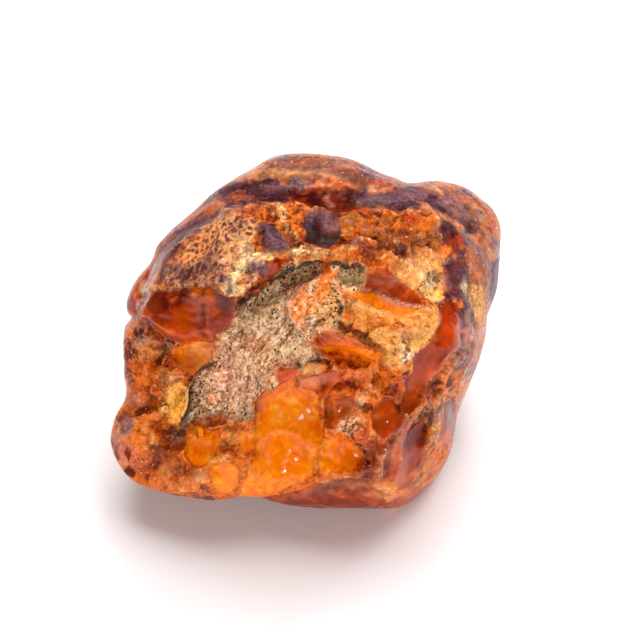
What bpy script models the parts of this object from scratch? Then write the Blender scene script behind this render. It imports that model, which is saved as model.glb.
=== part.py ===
"""A raw lump of amber, as dug: one solid with a weathered rind, a broken show face and a flat resting spot.

The lump is described in its own face frame, in millimetres. U runs to the right across the show face, V runs
up it and W stands out of it. The show face leans back, so the face frame is turned by FACE_LEAN about the X
axis before the lump is set down on Z = 0. Two square sheets make the skin. One bulges out along +W as the
show face, the other along -W as the back, and they are joined along the lump's outline.
"""

import math

import bmesh
import bpy
import numpy as np
from mathutils import Matrix

MM = 0.001

# How the lump sits.
FACE_LEAN = math.radians(45)
FACE_HEIGHT = 16.0
TAPER_LENGTH = 120.0

# The two sheets that make the skin.
SHEET_CELLS = 48
WELD = 0.01
RING_SPREAD = 0.65

# The outline round the show face, anticlockwise from the right, as (U, V).
OUTLINE = (
    (20.8, -0.4), (21.1, 2.0), (22.0, 4.5), (22.5, 9.0), (22.6, 12.5), (21.8, 14.3), (20.3, 15.7),
    (18.5, 17.0), (16.0, 17.6), (12.0, 17.4), (10.5, 18.0), (8.6, 18.7), (6.8, 19.7), (4.5, 20.4),
    (1.5, 20.7), (-4.0, 20.1), (-5.4, 19.2), (-7.0, 18.2), (-10.5, 16.2), (-13.2, 13.9), (-15.8, 11.5),
    (-17.0, 10.0), (-17.6, 8.2), (-19.0, 6.2), (-20.0, 4.5), (-20.5, 3.0), (-20.4, 2.2), (-20.0, 1.6),
    (-20.7, 0.7), (-21.0, -0.5), (-21.0, -5.0), (-21.1, -8.5), (-22.0, -10.2), (-22.5, -12.4),
    (-21.8, -15.2), (-19.8, -17.6), (-17.2, -18.7), (-12.0, -19.7), (-5.2, -19.5), (-3.6, -20.1),
    (2.0, -20.6), (7.2, -20.7), (10.4, -20.5), (12.0, -19.9), (13.6, -18.6), (15.2, -17.0),
    (16.4, -15.0), (17.2, -12.4), (17.7, -9.8), (18.6, -7.5), (19.8, -4.2),
)

# Where the outline lies along W, and how square the skin turns over it, by angle from +U in degrees.
RIM_ANGLES = (0, 35, 60, 90, 120, 150, 180, 205, 228, 250, 270, 292, 315, 340)
RIM_DEPTHS = (-6.0, -6.0, -4.5, -2.5, -1.5, -0.5, 0.0, 1.5, 3.5, 4.5, 2.0, -1.0, -3.0, -5.0)
RIM_SQUARENESS = (3.6, 3.2, 3.0, 3.2, 3.4, 3.8, 4.2, 4.2, 5.0, 6.0, 5.5, 5.0, 4.4, 3.8)
BACK_SQUARENESS = 2.6

# The flat breaks of the show side: (U, V) of a point, W there, and how W climbs along U and along V.
FRONT_FACETS = {
    "show": (2.0, -2.0, 12.6, 0.06, 0.20),
    "left": (-14.0, -6.0, 7.2, 0.50, -0.02),
    "top": (0.0, 9.5, 14.2, 0.02, -0.95),
    "top_left": (-9.2, 10.5, 11.0, 0.63, -0.71),
    "right": (18.4, 2.0, 13.2, -1.8, 0.05),
    "top_right": (13.5, 11.9, 8.0, -0.75, -0.66),
    "low_right": (13.2, -9.9, 11.5, -1.00, 0.75),
    "lip": (0.0, -17.6, 9.0, 0.0, 1.50),
}
BACK_FACETS = {
    "rear": (0.0, 8.0, -18.9, 0.0, 1.00),
    "under": (0.0, -11.3, -11.6, -0.12, -1.14),
    "left": (-8.0, 0.0, -20.0, -0.90, 0.10),
    "right": (10.0, 0.0, -22.0, 1.00, 0.15),
    "rear_left": (-9.0, 9.0, -15.0, -0.60, 0.65),
}
FRONT_ROUNDING = 0.45
BACK_ROUNDING = 1.2

# The hood: a thick shelf at the upper left, with a glassy broken end below it.
HOOD = (
    (-19.5, 3.0), (-18.0, 5.5), (-16.5, 9.0), (-14.5, 11.5), (-12.0, 12.6), (-8.0, 13.6), (-5.0, 12.6),
    (-3.4, 11.2), (-0.5, 9.8), (2.0, 9.1), (1.5, 8.4), (-1.5, 7.9), (-3.3, 6.4), (-5.4, 5.6), (-7.4, 4.3),
    (-7.6, 1.4), (-8.8, -0.3), (-10.5, -0.7), (-12.0, -1.3), (-15.0, -1.0), (-17.5, 0.4), (-19.0, 1.6),
)
HOOD_TOP = (-9.0, 9.0, 12.0, 0.35, -0.35)
HOOD_END = (-13.0, 4.5, 12.0, 0.28, 0.56)
HOOD_EDGE = 0.85
HOOD_ROUNDING = 0.25

# The valley of sandy crust across the middle: a broad tongue down the left, and a narrower one to the right.
VALLEY = (
    (-10.5, -1.5), (-8.0, 0.0), (-7.5, 1.5), (-5.0, 4.2), (-1.8, 6.2), (1.5, 8.2), (2.0, 7.0),
    (-0.5, 5.6), (-2.0, 3.8), (-2.4, 1.8), (-0.6, -0.6), (1.8, -2.4), (2.0, -3.6), (-0.6, -4.7),
    (-2.9, -4.2), (-5.0, -7.0), (-6.4, -8.4), (-6.0, -10.0), (-9.2, -10.2), (-12.0, -10.8),
    (-14.8, -12.3), (-13.2, -9.0), (-13.2, -6.8), (-11.8, -4.5), (-10.5, -3.6),
)
VALLEY_DEPTH = 1.1
VALLEY_EDGE = 0.8

# The ridge along the back of the top, behind a dark terrace.
BACK_RIDGE = (
    (-11.5, 15.6), (-8.0, 17.0), (-4.9, 18.4), (1.7, 18.3), (5.8, 16.7), (10.4, 16.2), (14.0, 15.6),
    (26.0, 20.0), (0.0, 30.0), (-16.0, 20.0),
)
BACK_RIDGE_RISE = 1.0
BACK_RIDGE_EDGE = 0.7

# Bowls that flakes left, as (U, V) of the middle, half length, half width, turn in degrees and depth.
# A negative depth is a lump.
BOWLS = {
    "bright window": (-1.6, -12.6, 7.6, 5.2, 78, 2.3),
    "side window": (4.6, -14.2, 2.7, 2.2, 20, 1.1),
    "left window": (-12.1, -13.9, 2.2, 1.8, 60, 0.9),
    "lip window": (-9.1, -17.3, 1.9, 1.7, 0, 0.8),
    "red window": (3.8, -9.3, 2.0, 1.5, 0, 0.8),
    "long scoop": (9.8, 4.5, 4.8, 2.0, -25, 1.7),
    "grey pit": (5.2, 6.8, 2.2, 2.0, -60, 1.9),
    "yellow pit": (14.4, 5.5, 2.0, 1.4, 70, 1.3),
    "eye": (4.4, -0.9, 3.8, 1.6, -25, -1.2),
    "under the eye": (4.7, -3.0, 3.2, 1.3, -20, 0.8),
    "red flake": (2.8, 14.8, 3.4, 1.0, -10, 0.7),
    "corner lobe": (-19.0, -12.6, 3.9, 3.2, 60, -1.8),
    "orange flake": (-13.0, -3.2, 2.6, 1.5, -30, 0.6),
    "smooth band": (14.6, -1.8, 5.5, 1.7, 80, 0.5),
    "far hump": (17.6, 14.4, 3.2, 2.2, -35, -1.2),
}
BACK_BOWLS = {
    "rear flake": (7.5, 9.5, 6.0, 4.2, 35, -1.3),
    "rear hollow": (-10.5, 1.0, 4.6, 3.2, 100, -1.0),
    "rear chip": (-3.5, 15.5, 4.2, 2.1, 10, -0.8),
    "side chip": (13.0, -3.5, 4.4, 3.0, 75, -0.9),
}

# Angular lumps: U, V and height of the top, then the slopes of the planes that run down from it.
BLOCKS = {
    "dark block": (2.6, 11.9, 1.0, ((0.6, 0.1), (-0.5, 0.25), (0.05, 0.8), (-0.05, -0.6))),
    "side block": (14.2, 12.4, 0.7, ((0.5, 0.2), (-0.6, 0.3), (0.1, -0.7), (0.0, 0.6))),
    "crest block": (9.6, -5.2, 0.6, ((0.5, 0.2), (-0.5, 0.4), (0.1, -0.6), (0.0, 0.7))),
    "low block": (-6.4, -15.4, 0.6, ((0.45, 0.3), (-0.6, 0.2), (0.1, -0.6), (0.0, 0.5))),
    "slope block": (-18.0, -5.0, 0.6, ((0.6, 0.1), (-0.4, 0.3), (0.1, -0.3), (0.0, 0.35))),
}
BLOCK_ROUNDING = 0.05

# Creases and crests, as height (a crease is negative), half width and the line they follow.
CRESTS = {
    "under the hood": (-1.0, 1.7, ((-6.4, 3.4), (-1.7, 6.3), (2.3, 7.8))),
    "window rim": (0.9, 0.8, ((-6.2, -8.2), (-4.4, -6.2), (-1.7, -4.7), (3.5, -4.8))),
    "corner": (
        0.7, 0.8, ((16.5, -7.5), (12.5, -9.8), (9.4, -12.3), (8.3, -16.2), (4.0, -17.3), (-0.6, -19.0)),
    ),
    "lobe crease": (-0.6, 1.4, ((-19.6, -9.2), (-17.8, -9.8), (-15.3, -12.6))),
    "behind the corner": (-0.9, 0.8, ((12.2, 16.6), (15.5, 15.1), (18.8, 12.4))),
    "forked crest": (0.9, 0.8, ((-4.3, 15.2), (-2.4, 14.6), (-1.7, 12.8), (0.0, 10.5), (2.9, 9.5))),
    "low right crest": (0.7, 0.7, ((15.4, -9.8), (14.8, -13.0), (13.0, -16.8))),
}

# The rolling unevenness of the whole lump: shallow shell-like breaks on a jittered lattice.
SHELL_CELLS = ((11.0, 0.020, 3), (4.6, 0.030, 8))
SHELL_WARP = 0.6
LUMP_CELL = 9.0
LUMP_HEIGHT = 0.55
NOISE_TABLE = 32

# The share of the unevenness left out at the outline, and how far out, by radius, that begins.
RIM_CALM = 0.75
RIM_CALM_FROM = 0.8

AMBER_COLOUR = (0.78, 0.24, 0.03, 1.0)
AMBER_ROUGHNESS = 0.28
AMBER_IOR = 1.54


def smooth(t):
    """0 below 0, 1 above 1, and an even S between."""
    t = np.clip(t, 0.0, 1.0)
    return t * t * (3.0 - 2.0 * t)


def periodic(angle, knots, values):
    """A smooth closed curve through values at knots in degrees: cubic, with the slopes of the neighbours."""
    knots = np.asarray(knots, float)
    values = np.asarray(values, float)
    order = np.argsort(knots)
    knots = np.concatenate([knots[order][-2:] - 360, knots[order], knots[order][:2] + 360])
    values = np.concatenate([values[order][-2:], values[order], values[order][:2]])
    slopes = np.gradient(values, knots)
    angle = np.mod(angle - knots[2], 360) + knots[2]
    i = np.clip(np.searchsorted(knots, angle, side="right") - 1, 1, len(knots) - 3)
    step = knots[i + 1] - knots[i]
    t = (angle - knots[i]) / step
    rise = t * t * (3 - 2 * t)
    leave = t * (1 - t) ** 2 * step
    arrive = t * t * (t - 1) * step
    return values[i] + (values[i + 1] - values[i]) * rise + slopes[i] * leave + slopes[i + 1] * arrive


def outline_radius(angle):
    points = np.array(OUTLINE)
    return periodic(angle, np.degrees(np.arctan2(points[:, 1], points[:, 0])) % 360, np.hypot(*points.T))


def plane(u, v, facet):
    """The height of one flat break over (U, V)."""
    u0, v0, height, along_u, along_v = facet
    return height + along_u * (u - u0) + along_v * (v - v0)


def lowest(heights, rounding):
    """The lowest of several surfaces, with its edges rounded over."""
    heights = np.array(heights)
    least = heights.min(axis=0)
    return least - rounding * np.log(np.exp((least - heights) / rounding).sum(axis=0))


def line_distance(u, v, line):
    """How far each point is from a run of straight pieces."""
    found = np.full(u.shape, np.inf)
    for (ua, va), (ub, vb) in zip(line[:-1], line[1:]):
        du, dv = ub - ua, vb - va
        t = np.clip(((u - ua) * du + (v - va) * dv) / (du * du + dv * dv), 0, 1)
        found = np.minimum(found, np.hypot(u - ua - t * du, v - va - t * dv))
    return found


def inside(u, v, loop, edge):
    """1 inside a closed loop and 0 outside, over a band as wide as edge on each side of it."""
    odd = np.zeros(u.shape, bool)
    for (ua, va), (ub, vb) in zip(loop, loop[1:] + loop[:1]):
        crosses = (va > v) != (vb > v)
        reach = ua + (v - va) * (ub - ua) / (vb - va if vb != va else 1.0)
        odd ^= crosses & (u < reach)
    distance = line_distance(u, v, loop + loop[:1])
    return smooth(0.5 + np.where(odd, distance, -distance) / (2 * edge))


def bowl(u, v, middle_u, middle_v, half_length, half_width, turn, depth):
    """A shallow oval bowl with a crisp rim."""
    turn = math.radians(turn)
    along = (u - middle_u) * math.cos(turn) + (v - middle_v) * math.sin(turn)
    across = (v - middle_v) * math.cos(turn) - (u - middle_u) * math.sin(turn)
    return -depth * np.clip(1 - (along / half_length) ** 2 - (across / half_width) ** 2, 0, 1) ** 0.8


def block(u, v, top_u, top_v, height, slopes):
    """An angular lump: what lies under a few planes that run down from its top."""
    sides = [plane(u, v, (top_u, top_v, height, *slope)) for slope in slopes]
    return lowest(sides, BLOCK_ROUNDING).clip(0)


def front_height(u, v):
    """W of the show side: flat breaks, then valley, ridge, hood, bowls, angular lumps and crests."""
    w = lowest([plane(u, v, facet) for facet in FRONT_FACETS.values()], FRONT_ROUNDING)
    w = w - VALLEY_DEPTH * inside(u, v, VALLEY, VALLEY_EDGE)
    w = w + BACK_RIDGE_RISE * inside(u, v, BACK_RIDGE, BACK_RIDGE_EDGE)
    shelf = lowest([plane(u, v, HOOD_TOP), plane(u, v, HOOD_END)], HOOD_ROUNDING)
    w = w + np.maximum(shelf - w, 0) * inside(u, v, HOOD, HOOD_EDGE)
    for shape in BOWLS.values():
        w = w + bowl(u, v, *shape)
    for shape in BLOCKS.values():
        w = w + block(u, v, *shape)
    for height, half_width, line in CRESTS.values():
        w = w + height * np.exp(-((line_distance(u, v, line) / half_width) ** 2))
    return w


def back_height(u, v):
    """W of the back, which is the highest of its breaks because it faces the other way, and its bowls."""
    w = -lowest([-plane(u, v, facet) for facet in BACK_FACETS.values()], BACK_ROUNDING)
    for shape in BACK_BOWLS.values():
        w = w + bowl(u, v, *shape)
    return w


def skin(x, y, front):
    """A point of one sheet's square as a point in the face frame: its rings become rings of the outline."""
    disc_x = x * np.sqrt(1 - y * y / 2)
    disc_y = y * np.sqrt(1 - x * x / 2)
    ring = np.clip(np.hypot(disc_x, disc_y), 0, 1)
    angle = np.degrees(np.arctan2(disc_y, disc_x)) % 360
    turn = math.pi / 2 * (RING_SPREAD * ring + (1 - RING_SPREAD) * ring**3)
    square = periodic(angle, RIM_ANGLES, RIM_SQUARENESS) if front else BACK_SQUARENESS
    scale = (np.sin(turn) ** square + np.cos(turn).clip(0) ** square) ** (-1 / square)
    reach = np.sin(turn) * scale
    lift = np.cos(turn).clip(0) * scale
    radius = outline_radius(angle) * reach
    u = radius * np.cos(np.radians(angle))
    v = radius * np.sin(np.radians(angle))
    rim = periodic(angle, RIM_ANGLES, RIM_DEPTHS)
    w = rim + (front_height(u, v) - rim if front else back_height(u, v) - rim) * lift
    narrowing = 1 - w / TAPER_LENGTH
    return np.stack([u * narrowing, v * narrowing, w], axis=-1)


def value_noise(points, cell, seed):
    """Smooth noise from -1 to 1, from random values on a lattice of that cell."""
    table = np.random.default_rng(seed).uniform(-1, 1, (NOISE_TABLE,) * 3)
    place = points / cell
    base = np.floor(place).astype(int)
    share = place - base
    share = share * share * (3 - 2 * share)
    total = np.zeros(len(points))
    for corner in np.ndindex(2, 2, 2):
        weight = np.prod(np.where(corner, share, 1 - share), axis=1)
        x, y, z = ((base + corner) % NOISE_TABLE).T
        total += weight * table[x, y, z]
    return total


def shells(points, cell, seed):
    """The square of the distance to the nearest of many scattered points: bowls that meet in crisp edges."""
    jitter = np.random.default_rng(seed).uniform(0.1, 0.9, (NOISE_TABLE,) * 3 + (3,))
    base = np.floor(points / cell).astype(int)
    nearest = np.full(len(points), np.inf)
    for offset in np.ndindex(3, 3, 3):
        node = base + np.array(offset) - 1
        x, y, z = (node % NOISE_TABLE).T
        centre = (node + jitter[x, y, z]) * cell
        nearest = np.minimum(nearest, ((points - centre) ** 2).sum(axis=1))
    return nearest


def roughened(points, normals):
    """The skin with its unevenness: lumps and two sizes of shell-like break, calmer at the outline."""
    warp = [value_noise(points, LUMP_CELL / 2, seed) for seed in (11, 12, 13)]
    warped = points + SHELL_WARP * np.stack(warp, axis=1)
    rise = LUMP_HEIGHT * value_noise(points, LUMP_CELL, 5)
    for cell, depth, seed in SHELL_CELLS:
        hollow = shells(warped, cell, seed)
        rise += depth * (hollow - hollow.mean())
    narrowing = 1 - points[:, 2] / TAPER_LENGTH
    angle = np.degrees(np.arctan2(points[:, 1], points[:, 0])) % 360
    near_outline = np.hypot(points[:, 0], points[:, 1]) / narrowing / outline_radius(angle)
    rise *= 1 - RIM_CALM * smooth((near_outline - RIM_CALM_FROM) / (1 - RIM_CALM_FROM))
    return points + normals * rise[:, None]


def sheet(mesh, front):
    """Adds one square sheet to the mesh, shaped as the show side or the back."""
    made = bmesh.ops.create_grid(mesh, x_segments=SHEET_CELLS, y_segments=SHEET_CELLS, size=1.0)
    square = np.array([vertex.co for vertex in made["verts"]])
    for vertex, point in zip(made["verts"], skin(square[:, 0], square[:, 1], front)):
        vertex.co = point
    if not front:
        faces = list({face for vertex in made["verts"] for face in vertex.link_faces})
        bmesh.ops.reverse_faces(mesh, faces=faces)


def set_down(mesh):
    """Leans the face back, lowers the lump to Z = 0, centres it and cuts the spot it rests on flat."""
    lean = Matrix.Rotation(math.pi / 2 - FACE_LEAN, 4, "X")
    bmesh.ops.transform(mesh, matrix=Matrix.Translation((0, 0, FACE_HEIGHT)) @ lean, verts=mesh.verts)
    cut = bmesh.ops.bisect_plane(
        mesh, geom=mesh.verts[:] + mesh.edges[:] + mesh.faces[:], plane_co=(0, 0, 0), plane_no=(0, 0, 1),
        clear_inner=True,
    )
    edges = [item for item in cut["geom_cut"] if isinstance(item, bmesh.types.BMEdge)]
    bmesh.ops.edgeloop_fill(mesh, edges=edges)
    places = np.array([vertex.co for vertex in mesh.verts])
    middle = (places.min(axis=0) + places.max(axis=0)) / 2
    bmesh.ops.translate(mesh, vec=(-middle[0], -middle[1], 0), verts=mesh.verts)


def amber_material():
    material = bpy.data.materials.new("amber")
    material.use_nodes = True
    shader = material.node_tree.nodes["Principled BSDF"]
    shader.inputs["Base Color"].default_value = AMBER_COLOUR
    shader.inputs["Roughness"].default_value = AMBER_ROUGHNESS
    shader.inputs["IOR"].default_value = AMBER_IOR
    shader.inputs["Metallic"].default_value = 0.0
    return material


def amber_piece():
    mesh = bmesh.new()
    sheet(mesh, front=True)
    sheet(mesh, front=False)
    bmesh.ops.remove_doubles(mesh, verts=mesh.verts, dist=WELD)
    mesh.normal_update()
    points = np.array([vertex.co for vertex in mesh.verts])
    normals = np.array([vertex.normal for vertex in mesh.verts])
    for vertex, point in zip(mesh.verts, roughened(points, normals)):
        vertex.co = point
    set_down(mesh)
    bmesh.ops.scale(mesh, vec=(MM, MM, MM), verts=mesh.verts)
    bmesh.ops.triangulate(mesh, faces=mesh.faces)
    data = bpy.data.meshes.new("amber_piece")
    mesh.to_mesh(data)
    mesh.free()
    data.materials.append(amber_material())
    piece = bpy.data.objects.new("amber_piece", data)
    bpy.context.scene.collection.objects.link(piece)
    return piece


def main():
    for old in list(bpy.data.objects):
        bpy.data.objects.remove(old)
    amber_piece()


main()
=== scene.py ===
# %% [markdown]
# # A raw lump of amber
#
# Raw amber is hardened tree resin. As dug, the lump has three skins: a thin weathered rind, mottled orange and
# plum; fresh glassy breaks, where flakes have come off and the orange inside shows; and a pale crust of the sand
# it lay in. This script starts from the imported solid, builds a finer skin of the same form, and gives each part
# of that skin its finish. All lengths below are in millimetres until the mesh is made.

import math
from functools import reduce

import bpy
import numpy as np
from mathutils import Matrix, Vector


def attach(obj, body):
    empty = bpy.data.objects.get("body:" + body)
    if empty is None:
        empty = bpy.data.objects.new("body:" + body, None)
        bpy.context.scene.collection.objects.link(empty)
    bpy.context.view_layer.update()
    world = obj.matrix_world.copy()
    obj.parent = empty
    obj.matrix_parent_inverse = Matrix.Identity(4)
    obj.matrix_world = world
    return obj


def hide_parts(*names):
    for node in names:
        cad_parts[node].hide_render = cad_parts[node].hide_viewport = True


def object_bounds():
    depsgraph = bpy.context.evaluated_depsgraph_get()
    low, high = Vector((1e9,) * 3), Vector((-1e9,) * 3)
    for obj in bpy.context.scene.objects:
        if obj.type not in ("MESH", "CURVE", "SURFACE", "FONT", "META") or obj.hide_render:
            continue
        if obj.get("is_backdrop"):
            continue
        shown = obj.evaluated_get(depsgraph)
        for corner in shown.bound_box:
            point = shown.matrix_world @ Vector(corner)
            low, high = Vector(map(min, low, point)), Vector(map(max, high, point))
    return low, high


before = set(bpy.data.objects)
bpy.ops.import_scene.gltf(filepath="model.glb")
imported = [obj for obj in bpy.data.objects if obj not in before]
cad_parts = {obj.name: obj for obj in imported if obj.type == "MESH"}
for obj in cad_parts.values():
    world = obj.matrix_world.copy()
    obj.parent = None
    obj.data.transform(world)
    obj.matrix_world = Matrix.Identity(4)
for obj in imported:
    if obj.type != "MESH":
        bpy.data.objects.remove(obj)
CAD_LOW, CAD_HIGH = (np.array(corner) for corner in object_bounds())
MM = 0.001
print("packed box, mm:", np.round((CAD_HIGH - CAD_LOW) / MM, 1))

# %% [markdown]
# ## The face frame
#
# The broken show face leans back by 45 degrees, so it is easier to describe the lump on that face than on the
# ground: U runs right across the face, V up it, and W stands out of it. A point goes from the face frame to the
# ground by a turn about X. The lump also narrows a little towards its show face, which is written as a taper. The
# camera stands on W, so a place on the face is a pixel of a 640 by 640 view, and small patches are given that way.

# %% Face frame, taper and pixels
FACE_LEAN = math.radians(45)
FACE_HEIGHT = 16.0
TAPER_LENGTH = 120.0
PIXEL = 0.1154
MIDDLE_PIXEL = (305, 331)


def tapered(u, v, w):
    """(u, v, w) -> (u k, v k, w), where k = 1 - w / TAPER_LENGTH."""
    k = 1 - w / TAPER_LENGTH
    return np.stack([u * k, v * k, w], axis=-1)


def on_the_ground(points):
    """Face frame to ground: x = u, y = v sin a - w cos a, z = v cos a + w sin a + FACE_HEIGHT, a = FACE_LEAN."""
    u, v, w = points.T
    sine, cosine = math.sin(FACE_LEAN), math.cos(FACE_LEAN)
    return np.stack([u, v * sine - w * cosine, v * cosine + w * sine + FACE_HEIGHT], axis=1)


def on_face(pixels):
    """Pixels (x, y) of the view as places on the face: u = (x - middle x) PIXEL, v = (middle y - y) PIXEL."""
    middle_x, middle_y = MIDDLE_PIXEL
    return [((x - middle_x) * PIXEL, (middle_y - y) * PIXEL) for x, y in pixels]


# %% [markdown]
# ## The outline
#
# Seen square on, a lump is one closed line. It could be a mesh of loose points, but as a radius that changes with
# the angle it is a smooth function that both halves of the skin can share. A cubic through a few chosen points
# keeps the notches and corners that make this lump itself.

# %% Closed curves by angle
OUTLINE = (
    (20.8, -0.4), (21.1, 2.0), (22.0, 4.5), (22.5, 9.0), (22.6, 12.5), (21.8, 14.3), (20.3, 15.7),
    (18.5, 17.0), (16.0, 17.6), (12.0, 17.4), (10.5, 18.0), (8.6, 18.7), (6.8, 19.7), (4.5, 20.4),
    (1.5, 20.7), (-4.0, 20.1), (-5.4, 19.2), (-7.0, 18.2), (-10.5, 16.2), (-13.2, 13.9), (-15.8, 11.5),
    (-17.0, 10.0), (-17.6, 8.2), (-19.0, 6.2), (-20.0, 4.5), (-20.5, 3.0), (-20.4, 2.2), (-20.0, 1.6),
    (-20.7, 0.7), (-21.0, -0.5), (-21.0, -5.0), (-21.1, -8.5), (-22.0, -10.2), (-22.5, -12.4),
    (-21.8, -15.2), (-19.8, -17.6), (-17.2, -18.7), (-12.0, -19.7), (-5.2, -19.5), (-3.6, -20.1),
    (2.0, -20.6), (7.2, -20.7), (10.4, -20.5), (12.0, -19.9), (13.6, -18.6), (15.2, -17.0),
    (16.4, -15.0), (17.2, -12.4), (17.7, -9.8), (18.6, -7.5), (19.8, -4.2),
)
RIM_ANGLES = (0, 35, 60, 90, 120, 150, 180, 205, 228, 250, 270, 292, 315, 340)
RIM_DEPTHS = (-6.0, -6.0, -4.5, -2.5, -1.5, -0.5, 0.0, 1.5, 3.5, 4.5, 2.0, -1.0, -3.0, -5.0)
RIM_SQUARENESS = (3.6, 3.2, 3.0, 3.2, 3.4, 3.8, 4.2, 4.2, 5.0, 6.0, 5.5, 5.0, 4.4, 3.8)
BACK_SQUARENESS = 2.6


def smooth(t):
    """0 below 0, 1 above 1, and 3 t^2 - 2 t^3 between."""
    t = np.clip(t, 0.0, 1.0)
    return t * t * (3.0 - 2.0 * t)


def fade(depth, edge):
    """1 well inside, 0 well outside, smooth over a band of twice edge about depth 0."""
    return smooth(0.5 + depth / (2 * edge))


def closed_curve(angle, knots, values):
    """A cubic Hermite curve through values at knots in degrees, closed at 360, with central-difference slopes."""
    knots, values = np.asarray(knots, float), np.asarray(values, float)
    order = np.argsort(knots)
    knots = np.concatenate([knots[order][-2:] - 360, knots[order], knots[order][:2] + 360])
    values = np.concatenate([values[order][-2:], values[order], values[order][:2]])
    slopes = np.gradient(values, knots)
    angle = np.mod(angle - knots[2], 360) + knots[2]
    i = np.clip(np.searchsorted(knots, angle, side="right") - 1, 1, len(knots) - 3)
    step = knots[i + 1] - knots[i]
    t = (angle - knots[i]) / step
    leave, arrive = t * (1 - t) ** 2 * step, t * t * (t - 1) * step
    rise = (values[i + 1] - values[i]) * (3 * t**2 - 2 * t**3)
    return values[i] + rise + slopes[i] * leave + slopes[i + 1] * arrive


def outline_radius(angle):
    """Distance from the middle of the face to the outline, by angle in degrees."""
    points = np.array(OUTLINE)
    return closed_curve(angle, np.degrees(np.arctan2(points[:, 1], points[:, 0])) % 360, np.hypot(*points.T))


radii = outline_radius(np.linspace(0, 360, 720))
print("outline radius, mm:", radii.min().round(1), "to", radii.max().round(1))

# %% [markdown]
# ## Flat breaks
#
# Amber breaks in shallow planes. Each plane is a height W over (U, V), and the lump is what lies under all of them
# at once, so the show side is the lowest of its planes and the back is the highest of its own. Taking the lowest
# with a logarithm instead of a plain minimum rounds the edges over, as wear does.

# %% Planes of the show side and the back
FRONT_FACETS = {
    "show": (2.0, -2.0, 12.6, 0.06, 0.20),
    "left": (-14.0, -6.0, 7.2, 0.50, -0.02),
    "top": (0.0, 9.5, 14.2, 0.02, -0.95),
    "top left": (-9.2, 10.5, 11.0, 0.63, -0.71),
    "right": (18.4, 2.0, 13.2, -1.8, 0.05),
    "top right": (13.5, 11.9, 8.0, -0.75, -0.66),
    "low right": (13.2, -9.9, 11.5, -1.00, 0.75),
    "lip": (0.0, -17.6, 9.0, 0.0, 1.50),
}
BACK_FACETS = {
    "rear": (0.0, 8.0, -18.9, 0.0, 1.00),
    "under": (0.0, -11.3, -11.6, -0.12, -1.14),
    "left": (-8.0, 0.0, -20.0, -0.90, 0.10),
    "right": (10.0, 0.0, -22.0, 1.00, 0.15),
    "rear left": (-9.0, 9.0, -15.0, -0.60, 0.65),
}
FRONT_ROUNDING = 0.35
BACK_ROUNDING = 1.2


def plane(u, v, facet):
    """W = height + along_u (u - u0) + along_v (v - v0)."""
    u0, v0, height, along_u, along_v = facet
    return height + along_u * (u - u0) + along_v * (v - v0)


def lowest(heights, rounding):
    """min(h) - r log(sum(exp((min(h) - h) / r))): the lowest height, with rounded edges."""
    heights = np.array(heights)
    least = heights.min(axis=0)
    return least - rounding * np.log(np.exp((least - heights) / rounding).sum(axis=0))


print(len(FRONT_FACETS), "planes in front,", len(BACK_FACETS), "behind")


# %% [markdown]
# ## Regions of the face
#
# The hood, the sandy valley and every flake are patches with an outline of their own. A patch is a loop of a few
# points, and what the rest of the script wants from it is one number at each place: how far inside the loop that
# place is, negative outside. That number shapes ledges, and later it tells the material where each finish ends.


# %% Distance to lines and loops
def line_distance(u, v, line):
    """Distance to a run of straight pieces: the least over the pieces of |p - a - t (b - a)|, t kept in 0..1."""
    found = np.full(np.shape(u), np.inf)
    for (ua, va), (ub, vb) in zip(line[:-1], line[1:]):
        du, dv = ub - ua, vb - va
        t = np.clip(((u - ua) * du + (v - va) * dv) / (du * du + dv * dv), 0, 1)
        found = np.minimum(found, np.hypot(u - ua - t * du, v - va - t * dv))
    return found


def depth_inside(u, v, loop):
    """Distance to the loop, positive where a ray along U crosses it an odd number of times, negative elsewhere."""
    odd = np.zeros(np.shape(u), bool)
    for (ua, va), (ub, vb) in zip(loop, loop[1:] + loop[:1]):
        reach = ua + (v - va) * (ub - ua) / (vb - va if vb != va else 1.0)
        odd ^= ((va > v) != (vb > v)) & (u < reach)
    distance = line_distance(u, v, loop + loop[:1])
    return np.where(odd, distance, -distance)


print("middle of a square of 2 mm, depth in mm:", depth_inside(0, 0, ((-1, -1), (1, -1), (1, 1), (-1, 1))))


# %% The hood, the valley and the ridge behind
HOOD = (
    (-19.4, 3.0), (-18.2, 5.6), (-16.7, 8.9), (-14.4, 11.4), (-12.0, 12.6), (-7.9, 13.6), (-4.9, 12.6),
    (-3.4, 11.2), (-0.6, 9.8), (2.0, 9.1), (1.5, 8.4), (-1.5, 7.9), (-3.3, 6.4), (-5.4, 5.6), (-7.4, 4.3),
    (-7.6, 1.4), (-8.8, -0.3), (-10.6, -0.7), (-12.0, -1.3), (-15.0, -1.0), (-17.6, 0.4), (-19.0, 1.6),
)
HOOD_TOP = (-9.0, 9.0, 12.0, 0.35, -0.35)
HOOD_END = (-13.0, 4.5, 12.0, 0.28, 0.56)
HOOD_ROUNDING = 0.15
HOOD_EDGE = 0.28
VALLEY = (
    (-10.5, -1.6), (-8.0, -0.2), (-7.4, 1.6), (-5.0, 4.2), (-1.7, 6.2), (1.5, 8.2), (2.0, 7.0), (-0.5, 5.6),
    (-2.0, 3.8), (-2.4, 1.8), (-0.6, -0.6), (1.8, -2.4), (2.0, -3.6), (-0.6, -4.7), (-2.9, -4.2), (-4.9, -7.0),
    (-6.4, -8.4), (-6.0, -10.0), (-9.2, -10.2), (-12.1, -10.8), (-14.8, -12.3), (-13.3, -9.0), (-13.2, -6.8),
    (-11.8, -4.5), (-10.5, -3.6),
)
VALLEY_DEPTH = 1.1
VALLEY_EDGE = 0.45
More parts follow.
